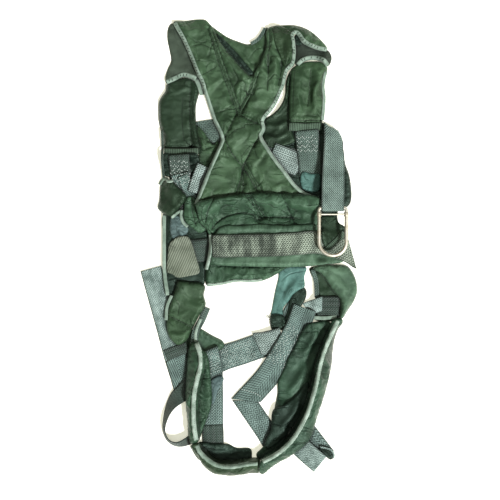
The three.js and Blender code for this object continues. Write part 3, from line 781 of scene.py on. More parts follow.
def strap(
    name, route, material, width=WEB_WIDTH, thick=WEB_THICK, lift=0.4, reach=9.0, sway=0.5, step=3.0,
    columns=8, seed=1, cut=(0.0, 0.0), crown=0.0,
):
    """A strap along its route's points. Where these are (x, y) it is laid on what is there, and
    where they are (x, y, z, roll, share) it stands at that height, turned about itself by roll in
    degrees, and that share of its width is shown.
    cut slants its two ends, in mm from one edge to the other."""
    line = spline(route, step)
    line[:, :3] *= MM
    free = line.shape[1] > 2
    tangent = directions(line[:, :2])
    along = lengths_along(line[:, :2])
    side = aside(tangent)
    half = width / 2 * MM
    shares = np.linspace(-1, 1, columns + 1)
    n = len(shares)
    slide = (cut[0] * (1 - along / along[-1]) + cut[1] * along / along[-1])[:, None] * MM * shares / 2
    xy = line[:, None, :2] + side[:, None] * half * shares[:, None] + tangent[:, None] * slide[:, :, None]
    uv = np.stack([np.broadcast_to(half * (shares + 1), slide.shape), along[:, None] + slide], axis=2)
    outline = np.vstack([xy[:, 0], xy[::-1, -1]])
    xy, uv = xy.reshape(-1, 2), uv.reshape(-1, 2)
    across = np.tile(shares, len(line))
    curl = -0.35 * MM * np.abs(across) ** 6 + crown * MM * (1 - across**2)

    def wave(q):
        return sway * MM * np.maximum(rough(q / MM, SWAY_SIZE, seed, 2), 0)

    if free:
        roll = np.radians(np.repeat(line[:, 3], n))
        centre = np.repeat(line[:, :3], n, axis=0)
        flat_side = np.repeat(np.column_stack([side, np.zeros(len(side))]), n, axis=0)
        lean = flat_side * np.cos(roll)[:, None]
        lean[:, 2] = np.sin(roll)
        shown = np.repeat(line[:, 4], n) if line.shape[1] > 4 else 1.0
        middle = centre + lean * (half * across * shown)[:, None]
        normal = -flat_side * np.sin(roll)[:, None]
        normal[:, 2] = np.cos(roll)
        top = middle + normal * (thick / 2 * MM + curl)[:, None]
        bottom = middle - normal * (thick / 2 * MM + 0.4 * curl)[:, None]
        raise_by = max(0.0, 0.0003 - bottom[:, 2].min(), 0.0003 - top[:, 2].min())
        top[:, 2] += raise_by
        bottom[:, 2] += raise_by
    else:
        laid = ground.support(outline, reach)
        low = laid(xy) + lift * MM + wave(xy)
        top = np.column_stack([xy, low + thick * MM + curl])
        bottom = np.column_stack([xy, low])
    made = piece(
        name, np.vstack([top, bottom]), band_faces(len(line) - 1, columns), material, uv=np.vstack([uv, uv])
    )
    keep_values(made, "selvage_and_edge_shade", np.abs(np.tile(across, 2)))
    if free:
        fine = top.reshape(len(line), n, 3)
        dense = [fine[:-1] * (1 - t) + fine[1:] * t for t in (0, 0.25, 0.5, 0.75)]
        dense = [d[:, :-1] * (1 - t) + d[:, 1:] * t for d in dense for t in (0, 0.34, 0.67)]
        ground.add_points(np.vstack([d.reshape(-1, 3) for d in dense]))
    else:
        ground.add(outline, lambda q: laid(q) + (lift + thick) * MM + wave(q))


def tape(name, route, material="tape", width=TAPE_WIDTH, lift=0.15, seed=1, ticks=None):
    """Binding tape folded over an edge: a low rounded band that follows its pad. Its stitches run
    along one side of it, or across it over that share of its length, from and to."""
    strap(
        name, route, material, width, 1.3, lift, reach=2.0, sway=0.0, step=2.0, columns=6, seed=seed,
        crown=0.7,
    )
    line = spline(route, 2.0) * MM
    tangent = directions(line)
    out = aside(tangent)
    if ticks is None:
        stitch(
            name + "_stitches", [line - out * 0.22 * width * MM], "dark_thread", pitch=4.4, length=2.2,
            radius=0.3, above=0.7, worn=0.2,
        )
        return
    across = []
    for share in np.arange(ticks[0], ticks[1], TAPE_TICKS / (len(line) * 2.0)):
        k = int(share * (len(line) - 1))
        reach = (tangent[k] * 0.2 - out[k]) * 0.4 * width * MM
        across.append(np.array([line[k] - reach, line[k] + reach]))
    stitch(
        name + "_stitches", across, "dark_thread", pitch=width * 0.8, length=width * 0.6, radius=0.8,
        above=0.8, worn=0.15,
    )


def stitch(name, lines, material, pitch=4.6, length=3.0, radius=0.45, above=0.25, worn=0.0):
    """Thread stitches along lines in plan, lying on what is there; worn is the share that is lost."""
    vertices, faces = [], []
    rng = np.random.default_rng(len(name))
    for line in lines:
        along = lengths_along(line)
        for a in np.arange(pitch / 2 * MM, along[-1] - length / 2 * MM, pitch * MM):
            if rng.random() < worn:
                continue
            a += rng.uniform(-0.5, 0.5) * worn * pitch * MM
            ends = [
                np.array([np.interp(a + s * length * MM / 2, along, line[:, k]) for k in (0, 1)])
                for s in (-1, 0, 1)
            ]
            z = ground.top(np.array(ends)) + above * MM
            d = ends[2] - ends[0]
            d /= max(np.linalg.norm(d), 1e-9)
            side = np.array([d[1], -d[0]]) * radius * MM
            start = len(vertices)
            vertices.append((*ends[0], z[0] - 0.2 * MM))
            for s in (-0.5, 0.5):
                centre = ends[1] + d * s * length * MM * 0.6
                vertices += [
                    (*(centre + side), z[1]), (*centre, z[1] + radius * MM),
                    (*(centre - side), z[1]), (*centre, z[1] - radius * MM),
                ]
            vertices.append((*ends[2], z[2] - 0.2 * MM))
            for k in range(4):
                m = (k + 1) % 4
                faces.append((start, start + 1 + k, start + 1 + m))
                faces.append((start + 1 + k, start + 5 + k, start + 5 + m, start + 1 + m))
                faces.append((start + 9, start + 5 + m, start + 5 + k))
    piece(name, vertices, faces, material)


def w_stitch(name, corner, along, across, rows, columns):
    """A zigzag harness stitch in a box: corner, then its two edge vectors in mm."""
    corner, along, across = (np.array(v, float) for v in (corner, along, across))
    lines = []
    for r in range(rows):
        shares = [(r + 0.15 + 0.7 * (c % 2)) / rows for c in range(columns + 1)]
        points = [corner + across * s + along * c / columns for c, s in enumerate(shares)]
        lines.append(np.array(points) * MM)
    stitch(name, lines, "thread", pitch=3.8, length=2.4, radius=0.6, worn=0.22)


def tube(name, points, radius, material, body=ROOT, closed=False, sides=20):
    """A round bar along 3-D points in metres."""
    p = np.array(points, float)
    n = len(p)
    tangent = directions(p, closed)
    u = np.cross(tangent, np.array([0, 0, 1.0]))
    u /= np.linalg.norm(u, axis=1)[:, None]
    v = np.cross(u, tangent)
    radii = np.broadcast_to(np.asarray(radius, float), (n,))
    angles = np.linspace(0, 2 * math.pi, sides, endpoint=False)[None, :, None]
    rings = p[:, None] + radii[:, None, None] * (u[:, None] * np.cos(angles) + v[:, None] * np.sin(angles))
    faces = []
    for k in range(n if closed else n - 1):
        a, b = k * sides, ((k + 1) % n) * sides
        for j in range(sides):
            m = (j + 1) % sides
            faces.append((a + j, b + j, b + m, a + m))
    if not closed:
        faces.append(tuple(range(sides)))
        faces.append(tuple((n - 1) * sides + j for j in reversed(range(sides))))
    piece(name, rings.reshape(-1, 3), faces, material, body)


def folded_band(name, profile, material, edges, columns=12):
    """A strap that folds over in the Y and Z plane, through profile's (y, z) points in mm. It runs
    between the two edges, each (y values, x values) in mm, and is crushed at its upper fold."""
    line = spline(profile, 2.0) * MM
    normal = -aside(directions(line))
    shares = np.linspace(-1, 1, columns + 1)
    bend = (WEB_THICK / 2 - 0.35 * np.abs(shares) ** 6) * MM
    share = np.tile((shares + 1) / 2, len(line))
    layers = []
    for side in (1, -1):
        y, z = ((line[:, k : k + 1] + side * normal[:, k : k + 1] * bend).ravel() for k in (0, 1))
        left, right = (np.interp(y / MM, *edge) * MM for edge in edges)
        start = CRUSH_START * MM
        crushed = np.where(y > start, start + (y - start) * np.interp(share, *CRUSH), y)
        layers.append(np.column_stack([left + share * (right - left), crushed, z]))
    across = RISER_WIDTH / 2 * MM * (shares + 1)
    uv = np.column_stack([np.tile(across, len(line)), np.repeat(lengths_along(line), len(shares))])
    faces = [(f[0], f[3], f[2], f[1]) for f in band_faces(len(line) - 1, columns)]
    made = piece(name, np.vstack(layers), faces, material, uv=np.vstack([uv, uv]))
    keep_values(made, "selvage_and_edge_shade", np.abs(np.tile(shares, 2 * len(line))))
    ground.add_points(layers[0])


# ---------------------------------------------------------------- the harness


def tails():
    """The free ends of the adjusters, and the leg strap on the left, all on the floor."""
    strap("leg_tail_left", "-191,-42,1.6,0,1 -178,-90,1.6,0,1 -159,-158,1.6,0,1 -143,-218,1.6,0,1 "
        "-131,-256,1.6,0,1 -124,-280,1.6,0,1", "web_light", 42, cut=(12, 24), seed=3)
    # painted shade: a darker ply over the tail where it lies in the shadow of its twist
    strap("leg_tail_left_ply", "-143,-214 -133,-248 -125,-277", "webbing", 42.4, seed=97, thick=1.4,
        cut=(8, 24), sway=0)
    # painted shadow: a dark band across the tail where the hip pad shades it
    strap("leg_tail_left_band", "-163,-211 -141,-203 -119,-195", "web_dark", 21, seed=99, thick=1.2, sway=0)
    # painted shade: the loop is given the dark webbing because it turns into shade
    strap("leg_tail_left_loop", "-112,-268,6,0,0.8 -126,-281,7,-12,0.8 -140,-292,9,-28,0.76 "
        "-153,-309,10,-48,0.62 -162,-332,10,-62,0.46 -165,-356,9,-70,0.36 -157,-375,9,-66,0.36 "
        "-141,-383,8,-56,0.44 -122,-379,6,-40,0.5 -108,-370,5,-30,0.5", "web_dark", 42, seed=87)
    strap("leg_tail_right", "110,-359,2,0 122,-375,2,0 136,-393,2.5,0 149,-410,4,0", "web_pale", 42, seed=4,
        cut=(-38, 6))
    cloth("leg_tail_right_inside", "134,-390 147,-392 158,-395 164,-402 165,-409 161,-415 155,-413 144,-402",
        "dark", 2.0, seed=89, crisp=True)
    strap("leg_tail_right_fold", "138,-389,7,0 150,-391,8,0 160,-395,8,0 165,-404,8,0 164,-411,8,0",
        "web_light", 3.5, seed=90, thick=2.0)
    strap("leg_tail_right_end", "90,-379,5,0 105,-393,8,0 121,-407,11,0 138,-421,12,0", "web_light", 39, seed=5,
        cut=(0, -16))
    strap("leg_web_left", "-72,-240 -71,-300 -71,-350 -70,-388", "web_pale", 42, seed=6)
    # painted shadow: the lower end of the web is given the dark webbing
    strap("leg_web_left_low", "-71,-347 -70,-366 -70,-386", "web_dark", 42, seed=101, thick=1.0, sway=0)
    cloth("leg_web_left_cloth", "-76,-262 -54,-250 -49,-256 -61,-282 -70,-306 -77,-300", "slate", 1.6, seed=8,
        crumple=(0.8, 14))


def lap():
    """The worn cloth sleeve and its frayed web on the right of the seat opening."""
    strap("lap_web", "92,-92 86,-110 74,-132 62,-162", "webbing", 22, seed=9)
    # painted shade: a dark sheet for the shadowed underside of the web
    cloth("lap_web_fold", "80,-98 90,-82 104,-77 111,-82 112,-96 104,-112 92,-130 76,-149 67,-150 76,-122",
        "dark", 3.0, seed=10, crumple=(1.5, 16))
    cloth("lap_sleeve", "60,-38 88,-36 112,-40 108,-58 108,-78 98,-83 85,-93 78,-104 66,-121 65,-136 43,-136 "
        "45,-118 51,-85 57,-60", "teal", 2.4, seed=11, crumple=(1.6, 26), folds=[("98,-60 80,-84 64,-112", 3.0,
        5), ("76,-45 66,-80 54,-118", 2.0, 5)])
    cloth("lap_frayed_end", "43,-134 66,-133 71,-148 68,-162 56,-160 46,-163 41,-150", "dark", 3.0, seed=12,
        crumple=(2.0, 10))
    rng = np.random.default_rng(5)
    for k in range(14):
        start = np.array([rng.uniform(40, 52), rng.uniform(-150, -134)])
        end = start + [rng.uniform(-16, -4), rng.uniform(-9, 7)]
        bend = (start + end) / 2 + rng.uniform(-4, 4, 2)
        line = spline([start, bend, end], 1.5) * MM
        z = np.linspace(0.004, rng.uniform(0.001, 0.006), len(line))
        tube(f"frayed_thread_{k:02d}", np.column_stack([line, z]), 0.00035, "dark_thread", sides=6)


def front():
    """The two front straps' padded sleeves, the webs that come out of them, and the chest strap's ends."""
    cloth("side_lining_left", "-156,170 -104,172 -84,200 -68,220 -58,214 -60,196 -76,160 -88,120 -82,60 -72,24 "
        "-76,-40 -100,-64 -146,-58 -154,0 -154,120", "dark", 1.4, seed=92, crumple=(0.8, 24))
    strap("chest_web_left", "-90,246 -76,234 -56,217 -34,204", "web_mid", 40, seed=13, cut=(-34, 0))
    cloth("chest_cover_left", "-101,236 -88,224 -70,200 -60,206 -60,180 -72,166 -84,152 -100,150 -97,190",
        "cover", 2.4, seed=14, crumple=(1.8, 18), folds=[("-96,226 -84,198 -72,206", 4, 4),
        ("-92,208 -84,186 -68,192", 3, 3)])
    # dark cloth under the front, which also stands for painted shade in the gap beside the riser web
    cloth("front_cuff_right", "60,226 84,240 120,240 152,238 152,80 100,84 84,120 56,150 44,190", "dark", 2.0,
        seed=82, crumple=(1.4, 20))
    strap("chest_web_right", "100,166 78,171 52,178 26,190", "twill", 44, seed=15)
    cloth("chest_cover_right", "27,247 43,257 57,270 66,285 70,300 71,320 77,338 84,346 92,300 90,250 84,226 "
        "90,206 72,198 48,192 28,200 22,226", "cover_deep", 2.4, seed=16, crumple=(2.2, 22),
        folds=[("34,238 55,236 76,246", 4, 5), ("30,218 52,212 76,222", 3, 4), ("79,340 75,318 73,300 69,283 "
        "60,267 44,252", 7, 4)])
    left = ("-161,316 -140,327 -120,330 -104,322 -97,304 -103,275 -103,250 -100,222 -95,202 -92,188 -98,180 "
        "-130,179 -163,180 -166,195 -167,210 -172,226 -176,245 -177,266 -176,282 -170,294 -163,304")
    pad("front_sleeve_left", left, "cover_deep", 11, blow=(3.0, 0.015, 6), seed=17, crumple=(0.3, 50),
        seams=["-112,324 -115,290 -115,250 -111,190", "-164,194 -95,194"], puff=15, seam_depth=0.55,
        folds=[("-160,314 -140,302 -120,312", 1.8, 5), ("-148,300 -146,256 -142,206", 2.6, 14),
        ("-128,290 -130,250 -126,206", -1.4, 5)], fill=0.5)
    strap("front_strip_left", "-102,328 -95,312 -90,296", "tape", 11, thick=1.4, seed=83)
    strap("front_hem_left", "-165,184.5 -130,184 -98,185", "knit", 13, thick=1.2, seed=18)
    cloth("front_cuff_left", "-167,180 -140,178 -100,180 -96,160 -104,148 -150,136 -166,140", "dark", 3,
        seed=19, crumple=(1.4, 18))
    strap("front_edge_left", "-168.5,226 -168,190 -168,160 -166,134", "web_dark", 5, thick=1.4, seed=20)
    right = ("81,344 92,354 106,360 124,362 143,360 153,349 149,332 145,316 145,300 148,282 145,262 143,246 "
        "140,239 110,239 80,239 77,252 77,275 78,300 80,325")
    pad("front_sleeve_right", right, "cover_smooth", 11, blow=(3.0, 0.03, 6), seed=21, crumple=(0.3, 40),
        seams=["79,246 142,246"], puff=15, seam_depth=0.5, folds=[("120,346 118,312 114,272", -5.5, 5),
        ("102,348 98,300 96,256", 3.8, 10), ("135,345 130,300 127,256", 4.4, 7), ("148,342 132,340 124,352",
        3.0, 4), ("142,326 128,306 122,276", 2.4, 4), ("88,340 86,300 85,262", -1.6, 5)], fill=0.5)
    strap("front_hem_right", "78,233 110,232 142,234", "knit", 15, thick=1.4, seed=22)
    strap("binding_sleeve_right", "149,340 144,315 146,290 143,246", "tape", 6, thick=1.2, seed=23)


def webs():
    """The main lift webs and the webs sewn to them at the hips."""
    strap("main_web_left", "-136,178 -134,150 -131,115 -132,60 -136,0 -132,-58", "web_dark", 40, seed=24)
    strap("main_web_left_ply", "-134,142 -128,118 -120,88", "webbing", 36, seed=25, thick=2.0)
    strap("hip_web_left", "-128,138 -118,112 -112,92", "webbing", 22, seed=26)
    strap("back_strap_left", "-84,156 -94,132 -102,104", "twill", 34, seed=27)
    strap("back_strap_right", "44,180 70,170 98,160", "twill", 46, seed=28)
    strap("main_web_right", "112,226 115,195 119,165 121,138", "web_mid", 46, seed=29)
    cloth("web_wrap_right", "104,146 120,142 137,141 138,112 122,106 106,112 100,128", "teal", 2.2, seed=30,
        crumple=(0.7, 30))
    w_stitch("main_web_left_stitching", (-153, 168), (36, 0), (0, -30), 4, 8)
    w_stitch("main_web_left_stitching_low", (-150, 134), (34, 14), (8, -22), 3, 7)
    w_stitch("main_web_right_stitching", (92, 216), (42, 2), (2, -34), 4, 8)


def left_side():
    """The left hip: dark side panel, pocket flap, canvas patch and the belt's tail."""
    cloth("side_panel_left", "-166,66 -165,0 -165,-50 -160,-92 -150,-102 -136,-84 -108,-80 -90,-78 -84,-40 "
        "-80,20 -86,50 -104,66 -130,70", "dark", 3, seed=31, crumple=(1.8, 24))
    cloth("hip_cloth_left", "-151,62 -134,60 -128,44 -116,36 -124,20 -148,14 -154,34", "slate", 3, seed=32,
        crumple=(1.6, 16), crisp=True, folds=[("-148,50 -136,36 -128,22", 3, 4)])
    cloth("hip_fold_left", "-126,89 -118,99 -108,98 -97,84 -87,61 -78,40 -84,32 -96,26 -112,38 -122,46 -128,60 "
        "-126,75", "cover_blue", 3.0, seed=33, crumple=(1.2, 18), crisp=True, folds=[("-116,98 -117,72 -112,44",
        2.5, 4), ("-106,96 -104,70 -92,36", 2.5, 4), ("-111,96 -110,70 -102,40", -3, 3),
        ("-98,84 -96,64 -84,40", -2.5, 3)])
    pad("pocket_flap_left", "-173,124 -164,132 -149,129 -134,113 -121,101 -121,92 -134,76 -148,58 -158,60 "
        "-168,65 -179,75 -175,90 -174,108", "cover_deep", 7, blow=(1.5, 0.015, 3), seed=34, crumple=(0.8, 26),
        reach=9, crisp=True, folds=[("-170,116 -148,104 -124,98", 2.0, 7), ("-172,82 -158,82 -146,66", 2.0, 6),
        ("-140,112 -146,90 -150,64", 1.6, 6)], fill=0.5)
    tape("pocket_flap_binding", "-174,121 -169,130 -161,133 -155,126 -147,129", width=6.5, seed=35)
    tape("pocket_flap_turn", "-150,56 -141,64 -131,73", width=5.5, seed=93)
    tape("pocket_flap_tail", "-130,72 -132,60 -127,47 -119,39", width=6, seed=94)
    strap("side_edge_left", "-164.5,62 -165,0 -164,-50 -158,-94", "tape", 7, thick=1.6, seed=36)
    strap("belt_tail_left", "-122,-8 -104,-8 -86,-6 -76,-5", "web_dark", 44, seed=37)
    cloth("belt_patch_left", "-155,6 -146,14 -138,20 -118,21 -110,6 -103,-18 -97,-38 -95,-51 -118,-57 -140,-60 "
        "-149,-52 -160,-50 -158,-22", "canvas", 3.2, seed=38, crumple=(1.4, 26), edge=2.0, crisp=True,
        folds=[("-150,0 -136,-20 -128,-52", 2.0, 9), ("-120,16 -116,-10 -106,-40", 1.4, 7)])


def back():
    """The quilted back: collar, linings, the hourglass pad with both shoulders, and its binding."""
    cloth("shoulder_lining_left", "-158,425 -152,435 -141,434 -122,394 -104,356 -99,328 -112,330 -128,334 "
        "-146,326 -160,317 -163,328 -159,346 -152,362 -155,384 -159,405", "lining", 4, seed=39,
        crumple=(1.4, 34), reach=12, folds=[("-152,420 -140,400 -120,372", 3, 8), ("-156,350 -136,344 -112,350",
        2, 6)])
    tape("binding_lining_left", "-160,320 -145,327 -128,335 -114,332 -103,326", width=9, seed=40,
        ticks=(0.1, 0.9))
    cloth("shoulder_lining_right", "85,396 90,408 99,409 108,399 124,392 142,388 156,381 161,369 157,354 "
        "150,350 140,364 124,368 108,364 92,352 86,372", "lining_dark", 3, seed=41, crumple=(1.6, 26), reach=12,
        folds=[("150,382 148,368 140,356", 3, 6)])
    tape("binding_lining_right", "94,354 104,363 116,368 132,368 144,362 153,352", width=8.5, seed=42,
        ticks=(0.1, 0.9))
    cloth("collar_flap", "-74,430 -60,421 -42,409 -20,400 0,395 14,404 26,418 34,428 44,420 44,350 20,318 "
        "-10,336 -44,372 -70,408", "cover", 3.5, seed=43, crumple=(2.0, 26), reach=10,
        folds=[("-38,402 -12,370 12,340", 4.0, 3.5), ("20,400 22,372 18,345", 3, 5), ("-20,396 4,380 22,352",
        2.5, 5), ("8,396 26,384 34,360", 2.5, 4)])
    # painted shade: a dark sheet for the shaded crevice of the collar slot
    cloth("collar_slot", "-62,414 -46,401 -26,380 -6,356 8,338 2,332 -14,342 -40,372 -60,402", "dark", 1.4,
        seed=85)
    strap("collar_edge", "4,395 18,404 32,425", "web_mid", 7, thick=1.2, seed=44)
    # painted shade: a dark sheet in the shaded hollow at the binding's turn
    cloth("shoulder_hollow_right", "87,396 89,411 95,416 103,409 107,400 98,392", "dark", 1.6, seed=86)
    outline = ("-147,437 -125,440 -98,443.5 -84,442 -77,435 -68,424 -60,404 -37,374 -12,346 5,332 17,350 "
        "27,372 33,392 32,414 38,426 58,431 85,432 100,429 119,421 132,411 144,399 153,385 146,382 134,384 "
        "117,390 104,398 97,409 90,414 87,411 89,396 91,375 87,352 76,344 72,333 69,316 61,295 53,278 43,263 "
        "31,249 28,242 31,228 25,215 38,192 53,170 73,144 93,119 111,105 138,95 132,82 60,88 0,88 -50,84 "
        "-100,74 -106,82 -100,95 -93,113 -83,139 -73,163 -62,187 -54,207 -57,222 -68,244 -76,267 -86,298 "
        "-93,321 -101,337 -110,359 -126,397")
    pad("back_pad", outline, "cover", 12, replaces=["back_pad_cover", "back_pad_foam"], lift=0.6, reach=10,
        round_off=13, puff=17, seam_depth=0.62, blow=(3.0, 0.03, 6), seed=45, crumple=(1.6, 46), step=2.6,
        seams=["-80,424 -60,360 -38,300 -24,262", "-71,420 -51,362 -29,302 -18,270", "-47,213 -36,235 -24,260 "
        "-6,292 10,332", "-14,262 4,296 20,338", "22,237 2,246 -22,260", "25,222 8,195 -4,172 -12,155 -17,130 "
        "-25,104", "-12,155 -11,130 -13,104", "-48,213 -38,190 -24,170 -12,155 4,130 20,104",
        "-5,160 10,134 30,104"], folds=[("-160,424 -147,437 -125,440 -98,443 -84,442 -70,432", -9, 20),
        ("28,424 38,427 58,431 85,432 100,429 119,421 134,409 156,388", -9, 17), ("40,422 40,396 38,366 38,336",
        -6, 5), ("62,360 62,340 57,312", -5, 5), ("-90,332 -78,340 -62,350", -1.8, 3),
        ("-80,306 -70,314 -60,324", 1.6, 5), ("-68,258 -50,264 -32,276", -2.0, 3), ("-60,282 -48,290 -40,296",
        1.8, 5), ("50,368 50,335 44,300", 5.0, 8), ("35,372 37,340 36,302", -3.5, 4), ("64,372 62,340 57,312",
        -2.5, 4), ("38,386 54,372 72,352", 3.5, 4), ("44,392 46,405 40,420", 3.0, 4), ("18,350 34,330 40,300",
        2.4, 4), ("120,415 112,408 106,400", 2.5, 4), ("134,404 128,396 124,390", 2.5, 4),
        ("-60,170 -40,160 -25,168", 1.4, 6), ("30,190 20,172 6,160", 1.6, 5), ("20,205 2,196 -14,176", -1.4, 4),
        ("60,130 40,140 20,136", 1.2, 6), ("-40,250 -30,230 -30,205", 1.8, 5), ("0,240 6,222 0,200", 1.8, 6),
        ("-120,416 -104,420 -84,414", 2.0, 6), ("-112,388 -92,392 -72,384", -1.2, 4),
        ("-98,362 -84,362 -66,356", 1.6, 7), ("-26,300 -16,316 -8,334", 2.4, 5), ("8,300 24,306 44,300", 2.0,
        6), ("4,276 18,284 34,282", 2.2, 5), ("-8,232 -26,226 -40,214", -1.6, 4), ("-70,140 -52,132 -30,134",
        1.8, 7), ("-84,110 -60,106 -34,112", 1.6, 7), ("44,112 66,118 88,108", 2.2, 6), ("60,396 66,410 62,426",
        2.6, 6), ("72,366 76,384 72,402", 2.4, 5)], fill=0.6)
    # painted shade: a darker sheet over the shoulder's rounded inner side, which lies in shade
    cloth("shoulder_fold_right", "48,427 60,430 80,417 86,406 85,388 77,364 70,348 63,362 54,382 48,404",
        "cover_brown", 1.2, seed=91, reach=3, crumple=(0.8, 18), step=2.6, folds=[("54,420 58,396 60,364", 2.0,
        5)])
    tape("binding_back_left", "-144,435 -123,396 -107,358 -98,336 -90,320 -83,297 -73,266 -65,243 -54,221 "
        "-51,207 -59,186 -70,162 -80,138 -90,112 -97,95 -102,82", seed=46, ticks=(0.02, 0.36))
    tape("binding_back_right", "151,383 135,386 118,392 105,400 98,411 91,417 84,412 86,395 87,375 83,354 "
        "73,344 69,332 66,317 58,297 50,280 40,265 28,250 25,243", seed=47, ticks=(0.02, 0.96))
    tape("binding_back_right_low", "25,243 28,229 22,215 35,190 50,168 70,142 90,117 108,103 136,92", seed=48)
    for k, line in enumerate([
        [(-76, 420), (-56, 360), (-34, 300), (-21, 266)],
        [(-17, 262), (0, 296), (16, 336)],
        [(25, 222), (8, 195), (-4, 172), (-12, 155), (-17, 130), (-25, 106)],
        [(-48, 213), (-38, 190), (-24, 170), (-12, 155), (4, 130), (20, 106)],
    ]):
        stitch(f"quilt_stitches_{k}", [spline(line, 2.0) * MM], "dark_thread", radius=0.35)


def waist():
    """The lumbar pad, and the waist belt in its cloth carrier."""
    pad("lumbar_pad", "-102,84 -80,92 -60,97 -20,102 20,105 60,104 110,101 137,94 138,70 134,45 126,20 124,-10 "
        "118,-34 92,-38 72,-42 56,-52 30,-65 0,-68 -22,-67 -60,-74 -82,-76 -86,-52 -81,-20 -77,15 -84,36 "
        "-96,48 -100,66", "cover_blue", 11, replaces=["lumbar_pad_cover", "lumbar_pad_foam"],
        blow=(3.0, 0.04, 6), seed=49, crumple=(1.5, 34), reach=10, puff=15, seam_depth=0.6, round_off=12,
        step=2.6, seams=["-8,100 8,80 24,56", "0,101 16,80 32,58", "62,102 78,70 92,38", "-72,34 -58,50 -36,61 "
        "0,65 20,52", "20,57 60,58 100,56", "-66,96 -78,72 -84,48", "-80,-36 0,-38 100,-36"],
        folds=[("-70,92 -60,74 -62,58", 1.6, 6), ("40,100 48,82 46,64", 1.6, 6), ("-30,98 -26,84 -34,68", 1.4,
        5), ("110,96 104,76 112,56", 2, 6), ("-60,-40 -56,-56 -60,-70", 2, 5), ("0,-42 4,-54 0,-66", 2, 5),
        ("30,-42 34,-52 30,-62", 1.8, 5), ("-30,-42 -26,-54 -32,-66", 1.6, 5)], fill=0.5)
    cloth("belt_carrier", "-66,24 -52,40 -20,41 20,44 60,42 100,43 130,42 137,20 139,0 160,-12 184,-28 140,-35 "
        "110,-38 60,-39 0,-38 -50,-36 -72,-30 -72,0", "cover_mint", 2.6, seed=50, crumple=(1.8, 18), reach=8,
        folds=[("-40,33 20,35 90,34", 2.2, 3), ("-60,-31 0,-32 120,-31", 1.6, 3)])
    strap("waist_belt", "-70,1 -20,2 40,3 90,6 128,8 160,2 184,-6 202,-15", "belt", 43, seed=51, sway=1.6,
        cut=(0, 40))
    tape("belt_end_binding", "-75,24 -74,2 -77,-22 -83,-44", "tape_light", width=7, lift=1.2, seed=52)
    tape("binding_skirt", "-82,-73 -60,-72 -22,-65 4,-66 26,-64", width=6, seed=53)


def right_side():
    """Cloth round the right riser and under the ring, and the right hip."""
    cloth("hip_hollow_left", "-134,-160 -112,-158 -106,-190 -108,-224 -120,-226 -130,-198", "cover_deep", 2,
        seed=100, base=0)
    cloth("pocket_flap_right", "150,170 184,172 189,158 195,142 199,118 200,98 197,84 188,76 150,74 138,84 "
        "140,120", "dark", 8, seed=54, crumple=(1.6, 20), base=0)
    cloth("ring_backing", "140,74 172,72 172,58 176,46 186,40 188,12 180,-12 150,-6 138,20 136,50", "dark", 3,
        seed=55, crumple=(1.6, 16), base=0)
    cloth("hip_cloth_right", "118,-42 140,-37 160,-50 178,-90 183,-115 176,-140 150,-146 126,-140 134,-112 "
        "128,-96 128,-70", "cover_deep", 3, seed=57, crumple=(2.2, 18))
    strap("hip_edge_right", "123,-44 130,-66 132,-98", "web_mid", 9, thick=1.2, seed=58)
    strap("hip_web_right", "180,-117 158,-116 132,-117", "web_dark", 40, seed=59, sway=3.0)
    strap("hip_web_right_edge", "120,-137 144,-138 170,-136", "tape", 7, thick=1.4, seed=60)
    strap("leg_strap_end", "142,-110 128,-115 112,-121", "web_light", 27, seed=61, cut=(-10, 8))
    pad("hip_cup_right", "122,-42 136,-34 160,-33 192,-36 203,-50 210,-68 211,-90 203,-109 192,-124 182,-140 "
        "175,-140 178,-118 176,-99 160,-81 147,-60 136,-49", "cover_mint", 12, crisp=True, blow=(2.0, 0.02, 5),
        seed=62, crumple=(0.8, 28), reach=10, round_off=12, folds=[("150,-50 176,-74 200,-84", 2.4, 9),
        ("190,-112 196,-96 206,-84", 2, 6)], fill=0.5)


